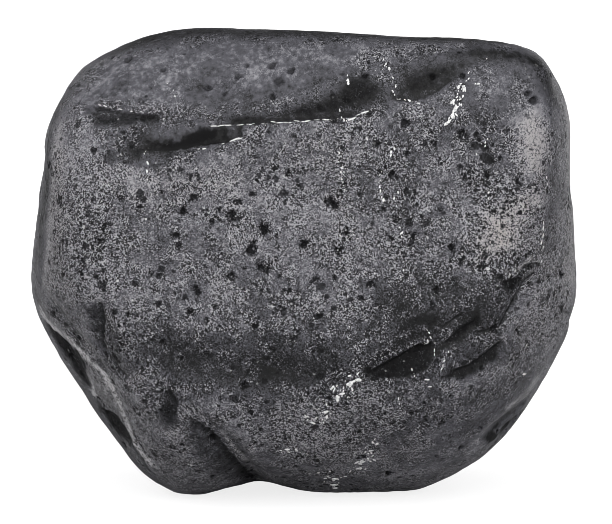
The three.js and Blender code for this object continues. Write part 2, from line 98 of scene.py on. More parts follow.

# Ledges, where the skin drops on the left of a line and comes back up over a little way:
# the side, points across and up, that way, the drop, and how dark the painted shade under the
# ledge is.
LEDGES = [
    # the first lip, with painted shade below it, and the second, with painted shade above it
    (FRONT, [(-5.7, 8.9), (-7.2, 9.0), (-8.8, 9.2)], 0.5, 0.08, 0.45),
    (FRONT, [(-8.6, 9.2), (-10.4, 9.5), (-11.9, 9.7), (-13.2, 10.0), (-13.9, 10.2)],
     1.0, 0.12, 0.8),
    (FRONT, [(-10.7, 7.0), (-8.4, 7.1), (-6.3, 7.4), (-5.2, 7.5), (-3.8, 7.9)], 1.3, 0.15, 0.9),
    (FRONT, [(-3.9, 7.8), (-3.9, 8.7)], 0.9, 0.1, 0.8),
    # the third lip, and the hollow on to the right shoulder, with painted shade above them
    (FRONT, [(-5.8, 8.6), (-2.5, 8.8), (1.7, 9.0), (3.0, 9.2), (4.3, 9.6)], 1.3, 0.14, 0.75),
    (FRONT, [(5.0, 10.4), (6.1, 10.2), (7.1, 10.2), (8.0, 10.5), (9.0, 11.2), (9.9, 12.0)],
     1.5, 0.12, 0.65),
    # the eye-shaped chip
    (FRONT, [(8.5, -5.0), (7.4, -5.2), (6.5, -5.7), (5.6, -6.2), (4.8, -6.6), (4.0, -7.1)],
     1.3, 0.3, 1.1),
    (FRONT, [(4.2, -7.2), (5.4, -7.4), (6.7, -7.3), (7.7, -6.9), (8.3, -6.3)], 0.5, 0.08, 0.5),
    (FRONT, [(8.1, -4.3), (7.2, -4.5), (6.3, -4.9), (5.4, -5.5)], 0.8, 0.1, 0.6),
    # the chips at its right
    (FRONT, [(11.0, -3.4), (10.2, -4.0), (9.4, -4.6), (8.7, -5.3)], 0.9, 0.2, 1.0),
    (FRONT, [(10.0, -3.1), (9.3, -3.6), (8.5, -4.2)], 0.4, 0.12, 0.9),
    (FRONT, [(12.7, -4.8), (11.9, -5.5), (11.1, -6.2), (10.1, -6.6), (9.2, -6.9)],
     0.7, 0.18, 1.0),
    (FRONT, [(14.0, -0.9), (13.2, -1.1), (12.3, -1.2)], 0.9, 0.15, 0.9),
    (FRONT, [(15.0, 0.0), (14.3, -0.1), (13.6, -0.4)], 0.4, 0.1, 0.9),
    (FRONT, [(15.3, -0.2), (14.4, -0.8), (14.0, -1.1), (13.6, -1.8), (12.9, -3.1), (12.4, -4.0),
             (11.2, -4.3), (10.4, -4.9)], 0.35, 0.12, 0.9),
    (FRONT, [(11.4, -7.9), (10.9, -8.6), (10.4, -9.1)], 0.6, 0.12, 0.7),
    (FRONT, [(17.5, -3.4), (17.0, -3.1), (16.5, -2.6)], 0.4, 0.1, 0.8),
    (FRONT, [(14.7, -9.5), (13.9, -10.1), (13.2, -10.6), (12.5, -11.5)], 0.9, 0.2, 0.8),
    (FRONT, [(6.7, -8.1), (5.8, -8.4), (5.0, -8.7)], 0.7, 0.1, 0.6),
    # the wedge at the left
    (FRONT, [(-12.5, -5.8), (-12.7, -5.0), (-12.6, -3.6), (-12.8, -2.3)], 1.0, 0.15, 0.8),
    (FRONT, [(-11.0, -7.5), (-11.8, -6.6), (-12.3, -5.9), (-12.7, -5.0)], 0.35, 0.1, 0.7),
    (FRONT, [(-12.5, -2.6), (-13.2, -2.5), (-13.9, -2.8)], 0.5, 0.06, 0.5),
    # the scoops outside the ridge down the left jaw
    (FRONT, [(-13.6, -8.8), (-13.8, -7.8), (-14.2, -6.8), (-14.7, -5.8), (-15.5, -5.1),
             (-16.4, -4.4), (-17.0, -3.5)], 0.9, 0.25, 1.1),
    (FRONT, [(-11.0, -12.2), (-11.3, -11.4), (-11.8, -10.5), (-12.4, -9.8), (-13.5, -9.4)],
     1.0, 0.2, 1.0),
    (FRONT, [(-9.8, -14.0), (-10.5, -12.7), (-11.1, -11.8)], 0.5, 0.1, 0.7),
    # the valley of the chin
    (FRONT, [(-2.7, -14.7), (-4.1, -13.0), (-4.9, -11.9), (-5.8, -10.8), (-6.8, -10.1),
             (-7.8, -9.4)], 1.4, 0.12, 0.8),
    (FRONT, [(-8.1, -10.2), (-8.0, -8.9), (-8.6, -7.9)], 1.3, 0.15, 0.8),
    # on the other sides
    (BACK, [(-1.6, 7.4), (-3.0, 6.9), (-4.2, 5.6), (-6.4, 5.0), (-7.2, 3.8)], 1.5, 0.16, 0.55),
    (BACK, [(-7.0, 3.6), (-8.2, 3.2), (-9.4, 1.6)], 0.8, 0.1, 0.5),
    (BACK, [(10.6, -2.8), (9.0, -3.4), (7.8, -4.8), (6.2, -5.4)], 1.2, 0.18, 0.55),
    (BACK, [(6.4, -5.6), (5.4, -6.6), (4.4, -6.8)], 0.6, 0.12, 0.5),
    (BACK, [(2.4, 3.4), (1.0, 3.8), (-0.6, 3.0)], 0.9, 0.08, 0.3),
    (BACK, [(-8.0, -5.6), (-6.4, -6.4), (-5.4, -7.8)], 0.8, 0.12, 0.5),
    (BACK, [(-5.4, 0.2), (-6.1, -2.6), (-5.2, -4.9), (-6.0, -7.2)], 0.5, 0.12, 0.8),
    (BACK, [(8.3, 8.0), (6.2, 7.6), (3.8, 8.6)], 0.6, 0.12, 0.7),
    (BACK, [(10.6, -5.3), (8.8, -6.4), (7.5, -8.5)], 0.5, 0.12, 0.8),
    (RIGHT, [(0.4, 5.6), (-1.6, 4.6), (-2.8, 3.0), (-4.4, 2.2)], 1.1, 0.14, 0.55),
    (RIGHT, [(0.4, -4.0), (-1.6, -4.5), (-3.0, -6.2)], 0.6, 0.12, 0.8),
    (LEFT, [(3.4, 4.8), (1.6, 4.2), (0.4, 4.4), (-0.8, 2.6), (-2.2, 1.8)], 1.1, 0.14, 0.55),
    (LEFT, [(3.3, 1.2), (3.1, -1.2), (1.9, -3.2)], 0.5, 0.12, 0.8),
]

# Crests that tumbling has worn pale, with a painted highlight on them: the side, points across and
# up, the width, how pale.
WORN_AND_HIGHLIGHTED_CRESTS = [
    # the ridge down the left jaw, and the web beside it
    (FRONT, [(-9.4, -13.6), (-10.4, -12.6), (-11.1, -11.7), (-11.4, -10.6), (-11.9, -9.4),
             (-12.3, -8.3), (-12.8, -7.3), (-13.8, -6.4), (-14.6, -5.6), (-15.5, -4.8),
             (-16.4, -4.2), (-17.1, -3.3), (-17.6, -2.4)], 0.22, 1.0),
    (FRONT, [(-14.3, -7.0), (-13.9, -8.0), (-13.6, -8.9)], 0.3, 0.6),
    (FRONT, [(-13.0, -8.6), (-12.6, -8.0), (-12.9, -7.4)], 0.3, 0.4),
    # along the left edge, where a highlight is painted, by the chips and the valley, and along the
    # lower right rim
    (FRONT, [(-15.9, 8.6), (-16.1, 4.0), (-16.5, 0.0), (-17.1, -2.4)], 0.2, 0.15),
    (FRONT, [(12.6, -0.7), (13.6, -0.5), (14.6, 0.4)], 0.2, 0.3),
    (FRONT, [(-2.4, -14.4), (-3.8, -12.7), (-5.5, -10.6)], 0.2, 0.25),
    (FRONT, [(13.0, -9.6), (14.4, -8.7), (15.4, -7.4)], 0.3, 0.3),
]

# Areas are closed outlines on a side: its points across and up, the softness of its edge,
# and how strong it is. Black areas are partly bare stone that tumbling has not scuffed, and partly
# painted shade: under and over the lips, on the belt, in the valley and the chips, and along the
# edges and the front of the crown.
BLACK_AND_SHADED_AREAS = [
    # painted shade under the first lip, and over the second
    (FRONT, [(-13.9, 9.8), (-11.9, 9.6), (-9.8, 9.4), (-9.7, 8.8), (-11.8, 8.6), (-13.4, 8.6)],
     0.6, 0.85),
    (FRONT, [(-9.8, 9.4), (-7.9, 9.3), (-5.8, 9.1), (-5.7, 8.8), (-7.9, 8.8), (-9.7, 8.8)],
     0.7, 0.51),
    (FRONT, [(-10.5, 7.9), (-8.0, 7.7), (-6.7, 8.6), (-5.3, 8.6), (-5.3, 7.7), (-7.5, 6.9),
             (-8.9, 6.7), (-9.6, 7.3)], 0.6, 1.1),
    (FRONT, [(-5.5, 8.7), (-3.9, 8.6), (-4.0, 8.1), (-5.2, 7.7)], 0.4, 1.24),
    (FRONT, [(-10.4, 6.8), (-9.0, 6.5), (-8.9, 6.0), (-9.3, 5.6), (-9.9, 6.0)], 0.6, 0.79),
    (FRONT, [(-12.9, 6.9), (-12.1, 7.0), (-12.0, 6.4), (-12.9, 6.3)], 0.6, 0.68),
    (FRONT, [(-11.5, 7.4), (-8.5, 8.0), (-6.0, 8.3), (-5.6, 7.2), (-8.4, 6.5), (-11.0, 6.3)],
     0.9, 0.7),
    # on the brow
    (FRONT, [(-7.5, 11.1), (-6.6, 11.0), (-6.3, 10.4), (-6.8, 10.0), (-7.4, 10.3)], 0.7, 0.56),
    (FRONT, [(-7.0, 12.9), (-5.6, 12.8), (-4.3, 12.3), (-5.0, 11.7), (-6.5, 11.8)], 1.1, 0.34),
    # painted shade in the long band over the third lip, and on to the right shoulder
    (FRONT, [(-3.7, 9.2), (-0.9, 9.8), (1.4, 10.7), (2.6, 11.1), (2.5, 9.5), (0.5, 9.0),
             (-2.2, 8.9), (-3.6, 8.8)], 0.7, 0.79),
    (FRONT, [(2.0, 10.7), (2.9, 11.9), (4.1, 12.0), (5.1, 11.1), (4.7, 10.3), (3.0, 9.7),
             (2.2, 9.8)], 1.0, 0.95),
    (FRONT, [(5.8, 10.7), (6.4, 11.9), (7.5, 12.5), (9.8, 13.0), (10.8, 13.0), (9.5, 11.9),
             (8.1, 10.8), (6.9, 10.3)], 1.3, 0.9),
    (FRONT, [(9.0, 8.5), (9.3, 9.7), (9.9, 10.9), (10.4, 11.4), (10.1, 10.3), (9.4, 8.9)],
     0.4, 0.8),
    (FRONT, [(8.7, 13.7), (12.5, 13.9), (15.0, 13.3), (15.6, 12.0), (13.7, 12.6), (11.8, 12.8),
             (9.0, 12.6)], 1.1, 0.8),
    # two chips by the right cheek
    (FRONT, [(12.3, -0.9), (13.2, -0.6), (13.9, -1.1), (13.8, -1.8), (12.8, -2.0)], 0.4, 1.01),
    (FRONT, [(13.5, -0.1), (14.4, 0.2), (15.2, -0.1), (14.5, -0.4), (13.8, -0.4)], 0.4, 1.01),
    # painted shade on the belt between the face and the chin
    (FRONT, [(-11.3, -5.3), (-9.6, -4.6), (-6.6, -5.2), (-0.9, -5.6), (2.4, -6.3), (2.5, -7.2),
             (-1.4, -8.5), (-7.2, -7.9), (-10.9, -6.6)], 1.4, 0.42),
    # the wedge at the left, and the scoops outside the ridge
    (FRONT, [(-14.4, -2.8), (-13.3, -2.4), (-12.6, -2.7), (-12.7, -4.3), (-12.7, -5.6),
             (-13.3, -5.0), (-13.9, -3.8)], 0.8, 0.7),
    (FRONT, [(-16.7, -4.3), (-15.7, -4.6), (-14.9, -5.4), (-14.3, -6.8), (-13.8, -8.4),
             (-14.4, -8.2), (-15.6, -6.2), (-16.7, -4.9)], 0.5, 1.2),
    (FRONT, [(-13.5, -9.2), (-12.2, -10.0), (-11.4, -11.0), (-10.9, -12.0), (-11.5, -12.3),
             (-12.7, -10.7), (-13.5, -9.6)], 0.5, 1.15),
    # the valley of the chin
    (FRONT, [(-9.1, -8.8), (-8.4, -8.6), (-7.8, -9.4), (-8.0, -10.5), (-8.9, -10.6),
             (-9.3, -9.7)], 0.8, 0.9),
    (FRONT, [(-8.0, -9.3), (-6.4, -10.5), (-4.9, -11.9), (-3.1, -13.9), (-4.2, -14.4),
             (-5.9, -14.1), (-7.2, -12.4), (-8.2, -10.7)], 0.9, 0.6),
    # the eye-shaped chip, and the chips round it
    (FRONT, [(3.9, -6.9), (4.6, -6.2), (6.0, -5.5), (6.8, -5.0), (7.2, -5.7), (7.1, -7.0),
             (6.2, -7.4), (4.6, -7.3)], 0.7, 1.55),
    (FRONT, [(6.8, -5.0), (7.8, -5.2), (8.5, -5.8), (8.1, -6.3), (7.9, -7.0), (7.0, -7.2)],
     0.9, 1.15),
    (FRONT, [(5.2, -5.4), (6.2, -4.2), (7.4, -3.6), (8.6, -3.4), (8.2, -4.4), (6.6, -4.8)],
     0.9, 1.05),
    (FRONT, [(8.8, -5.4), (9.6, -4.2), (11.0, -3.2), (11.0, -4.0), (10.0, -5.0)], 0.6, 1.1),
    (FRONT, [(9.0, -7.3), (9.5, -6.6), (10.2, -6.2), (12.4, -5.0), (12.4, -6.0), (11.3, -6.9),
             (10.1, -7.4)], 0.6, 1.1),
    (FRONT, [(11.6, -11.4), (12.6, -10.5), (13.8, -9.6), (14.9, -8.9), (14.9, -10.2),
             (13.6, -11.4), (12.4, -12.2)], 0.5, 1.3),
    # painted shade along the edges and the front of the crown
    (LEFT, [(4.6, 9.6), (7.2, 8.4), (8.4, 4.0), (7.8, -1.0), (6.0, -3.4), (5.2, 1.0), (5.8, 4.6)],
     2.2, 0.75),
    (LEFT, [(0.0, -7.6), (4.0, -8.2), (5.6, -10.4), (5.2, -12.6), (5.4, -14.4), (4.6, -16.4),
            (1.0, -15.0), (-1.2, -11.0)], 1.8, 0.5),
    (RIGHT, [(-10.4, 11.6), (-7.8, 11.0), (-8.4, 7.0), (-7.4, 3.0), (-8.6, -1.6), (-10.4, -1.0)],
     1.8, 0.5),
    (CROWN, [(-14.0, -1.6), (-9.9, -3.4), (-6.7, -3.9), (-0.3, -4.7), (6.2, -5.4), (12.5, -6.7),
             (13.6, -4.4), (9.8, -2.6), (5.2, -3.4), (0.8, -1.6), (-4.6, -2.0), (-9.4, -0.4),
             (-12.8, -0.6)], 1.1, 0.55),
    # on the other sides
    (BACK, [(-9.0, 1.6), (-7.0, 4.4), (-3.0, 6.9), (-1.4, 7.2), (-2.6, 5.2), (-5.4, 3.0),
            (-7.6, 1.0)], 1.2, 0.45),
    (BACK, [(4.6, -7.0), (7.6, -4.7), (10.4, -3.0), (10.0, -4.2), (8.0, -6.2), (5.8, -7.7)],
     1.1, 0.5),
    (BACK, [(-4.5, -11.5), (0.5, -10.2), (5.0, -11.0), (0.6, -11.9)], 1.1, 0.68),
    (RIGHT, [(-4.4, 1.6), (-3.0, 3.2), (0.2, 5.2), (-0.8, 3.4), (-3.2, 1.2)], 1.0, 0.45),
    (LEFT, [(-2.0, 1.4), (0.4, 4.0), (3.2, 4.4), (2.0, 3.0), (0.2, 1.8)], 1.0, 0.45),
    (CROWN, [(-9.0, 1.4), (-2.6, 4.2), (5.0, 3.6), (-1.4, 2.8)], 1.1, 0.56),
]

# Dim areas are scuffed a little less than the rest, and partly painted shade: over the lips,
# on the belt and the chin where the stone turns down, and along the front of the crown.
DIM_AND_SHADED_AREAS = [
    # over the third lip, up to the right shoulder
    (FRONT, [(-10.5, 9.4), (-4.0, 10.2), (1.5, 12.2), (8.0, 13.8), (15.5, 13.6), (15.6, 12.0),
             (11.0, 12.4), (8.6, 10.8), (4.5, 9.6), (-4.0, 8.7), (-10.0, 8.6)], 0.5, 0.7),
    (FRONT, [(10.5, 14.2), (16.0, 13.4), (17.2, 10.0), (15.6, 10.4), (14.0, 12.0), (10.5, 12.6)],
     0.8, 1.3),
    (FRONT, [(-12.5, 8.4), (-7.0, 8.8), (-4.0, 8.5), (-5.6, 7.3), (-9.0, 6.2), (-12.6, 6.0)],
     0.7, 1.1),
    # the belt, and the chipped ground at its right
    (FRONT, [(-12.6, -3.6), (-4.0, -4.4), (4.0, -3.6), (8.4, -1.4), (13.6, -0.8), (13.6, -6.2),
             (6.0, -8.6), (-2.0, -9.0), (-9.0, -8.2), (-12.6, -6.6)], 1.5, 1.2),
    (FRONT, [(9.0, -8.0), (15.5, -6.0), (14.5, -9.5), (11.0, -12.0), (8.0, -12.0)], 1.0, 0.6),
    (FRONT, [(9.5, 2.0), (10.6, -2.0), (14.5, -1.0), (15.5, 2.0), (13.5, 1.0), (12.0, -0.6)],
     0.7, 0.5),
    (FRONT, [(4.5, -1.8), (9.0, -0.5), (12.8, -1.4), (13.0, -5.5), (9.0, -7.0), (6.0, -5.0)],
     1.2, 1.8),
    (FRONT, [(3.0, -8.4), (10.5, -7.4), (11.5, -10.0), (6.0, -12.4), (3.0, -11.0)], 1.2, 0.6),
    # the chin, and the upper right of the face
    (FRONT, [(-7.0, -10.6), (-3.0, -13.0), (8.0, -15.0), (-4.0, -15.4), (-7.5, -14.6)],
     1.2, 0.4),
    (FRONT, [(5.0, 9.0), (13.0, 10.5), (12.0, 5.0), (6.0, 4.6)], 1.5, 0.35),
    (FRONT, [(-15.5, 6.0), (-12.0, 4.5), (-11.0, -1.5), (-14.5, -2.5)], 1.2, 0.3),
    # painted shade along the front of the crown
    (CROWN, [(-14.0, -2.6), (-8.0, -3.6), (0.0, -4.4), (7.0, -5.4), (14.0, -6.4), (13.0, -3.0),
             (8.0, -0.4), (3.0, -1.4), (-2.0, 1.2), (-7.0, 0.2), (-12.0, 1.4)], 2.0, 1.2),
    # on the back
    (BACK, [(-12.0, 3.0), (-2.0, 9.5), (3.0, 8.0), (-8.0, -1.0)], 1.6, 0.5),
    (BACK, [(2.0, -9.0), (12.0, -6.0), (11.0, -1.0), (4.0, -5.0)], 1.6, 0.5),
]

# Pale areas are scuffed more than the rest, and partly painted highlight: the sheen on the
# right cheek and brow, down the left cheek, below the lips and on the crests.
PALE_AND_HIGHLIGHT_AREAS = [
    # painted highlights on the right cheek and brow
    (FRONT, [(11.1, 0.0), (11.0, 1.2), (11.4, 2.5), (12.7, 3.7), (14.8, 4.7), (15.2, 4.0),
             (13.9, 2.7), (12.7, 1.4), (11.9, 0.2)], 0.8, 1.95),
    (FRONT, [(13.7, 8.9), (14.6, 9.7), (15.3, 8.8), (15.6, 7.0), (15.2, 5.7), (14.3, 5.6),
             (13.8, 6.8)], 0.8, 1.9),
    (FRONT, [(-12.0, 5.8), (-4.0, 6.6), (-3.0, 4.0), (-11.0, 3.4)], 1.2, 0.6),
    (FRONT, [(11.7, 2.9), (13.1, 3.1), (13.3, 1.0), (12.0, 0.6)], 0.9, 3.3),
    # below the second and third lips
    (FRONT, [(-9.5, 5.4), (-4.0, 7.4), (3.0, 8.6), (3.6, 6.4), (-3.0, 4.6), (-9.0, 3.6)],
     0.9, 0.3),
    # the ridge down the left jaw, the web below it, and a painted highlight down the left cheek
    (FRONT, [(-17.2, -3.1), (-15.4, -4.6), (-13.5, -6.3), (-12.0, -7.9), (-11.3, -9.8),
             (-10.7, -11.8), (-9.6, -13.8), (-10.6, -12.6), (-11.6, -10.6), (-12.4, -8.7),
             (-13.7, -6.7), (-15.8, -5.0)], 0.3, 0.5),
    (FRONT, [(-14.3, -5.8), (-13.4, -6.6), (-12.6, -7.6), (-12.4, -8.7), (-13.0, -9.1),
             (-13.7, -8.5), (-14.1, -7.4)], 0.3, 0.45),
    (FRONT, [(-15.7, 9.8), (-15.4, 6.5), (-15.8, 1.4), (-16.3, -2.5), (-16.6, -2.5),
             (-16.3, 2.7), (-16.0, 7.8)], 0.6, 1.2),
    # the right edge, and the lower right rim
    (RIGHT, [(-6.4, 9.0), (-3.0, 9.0), (-3.0, -4.0), (-6.4, -3.0)], 0.8, 0.9),
    (FRONT, [(16.3, -6.7), (15.6, -8.0), (14.8, -9.1), (14.5, -8.8), (15.3, -7.7),
             (16.0, -6.5)], 0.25, 0.5),
    (FRONT, [(10.6, -11.5), (11.8, -10.5), (12.7, -9.7), (13.5, -9.2), (13.1, -10.2),
             (12.1, -11.3), (11.3, -12.1)], 0.4, 0.35),
    # on the other sides
    (BACK, [(-10.0, -6.0), (-7.0, -8.0), (-3.0, -9.0), (-6.0, -9.6), (-9.4, -7.6)], 0.4, 0.6),
    (BACK, [(0.0, 3.0), (4.0, 3.4), (5.0, 0.4), (1.6, 0.0)], 0.9, 0.4),
]

# Rubbed areas have less grain than the rest.
RUBBED_AREAS = [
    (FRONT, [(-15.0, 10.0), (-12.0, 13.5), (-4.0, 14.5), (4.0, 14.0), (3.0, 11.5), (-4.0, 9.6),
             (-12.0, 10.2)], 0.8, 1.0),
    (FRONT, [(5.0, 13.6), (15.0, 13.6), (16.5, 9.5), (13.0, 8.4), (10.5, 9.8), (8.0, 10.5),
             (5.0, 10.0)], 0.8, 0.65),
    (FRONT, [(-10.5, 8.4), (-5.0, 8.9), (-3.8, 8.4), (-4.4, 7.4), (-10.0, 6.8)], 0.6, 1.0),
    (FRONT, [(15.6, 10.0), (15.8, 0.0), (17.5, -2.0), (17.5, 8.0)], 0.5, 0.2),
    (FRONT, [(16.5, -4.0), (13.5, -7.5), (8.0, -11.0), (8.0, -14.0), (13.0, -12.0)], 0.8, 0.6),
    (FRONT, [(-12.0, -9.5), (-10.0, -9.5), (-6.0, -12.5), (-4.0, -15.0), (-9.0, -15.0)],
     0.8, 0.1),
    (FRONT, [(-17.6, 7.0), (-16.6, 7.0), (-16.8, -2.0), (-18.0, -2.0)], 0.4, 0.6),
    (FRONT, [(-7.0, 6.6), (-4.0, 7.2), (-4.5, 6.2), (-6.5, 5.8)], 0.3, 0.7),
    (FRONT, [(9.3, 5.2), (10.6, 4.4), (11.0, 2.8), (9.6, 3.6)], 0.3, 0.6),
    (FRONT, [(5.0, 9.6), (6.6, 9.2), (6.4, 7.8), (5.2, 8.2)], 0.3, 0.5),
]

# Coarse areas have more grain than the rest.
COARSE_AREAS = [
    (FRONT, [(-16.4, 7.0), (-12.2, 5.6), (-11.5, 0.1), (-12.5, -2.5), (-16.9, -2.5)], 1.0, 0.8),
    (FRONT, [(2.0, 8.6), (2.8, 8.6), (3.2, -4.4), (2.2, -4.4)], 0.6, 1.0),
    (FRONT, [(4.6, 8.0), (6.0, 7.6), (6.6, -1.4), (5.6, -2.0)], 0.7, 0.9),
    (FRONT, [(10.7, 5.9), (15.2, 4.6), (15.9, 0.1), (12.6, -2.5), (10.1, 0.1)], 1.0, 1.3),
    (FRONT, [(-1.5, -8.6), (3.6, -6.6), (8.4, -3.8), (7.5, -8.8), (1.7, -13.4), (-2.0, -11.5)],
     1.0, 0.7),
    (FRONT, [(-17.2, -2.6), (-13.5, -5.4), (-11.0, -9.8), (-9.4, -13.6), (-11.6, -12.4),
             (-14.6, -7.6)], 0.5, 1.2),
    (FRONT, [(-14.5, -2.0), (-9.0, -3.0), (-8.5, -8.5), (-3.5, -14.0), (-9.0, -15.0),
             (-12.0, -8.0)], 0.8, 0.5),
    (FRONT, [(15.0, 9.0), (17.5, 8.0), (17.5, -4.0), (12.5, -9.0), (14.5, -3.0)], 0.6, 0.6),
]
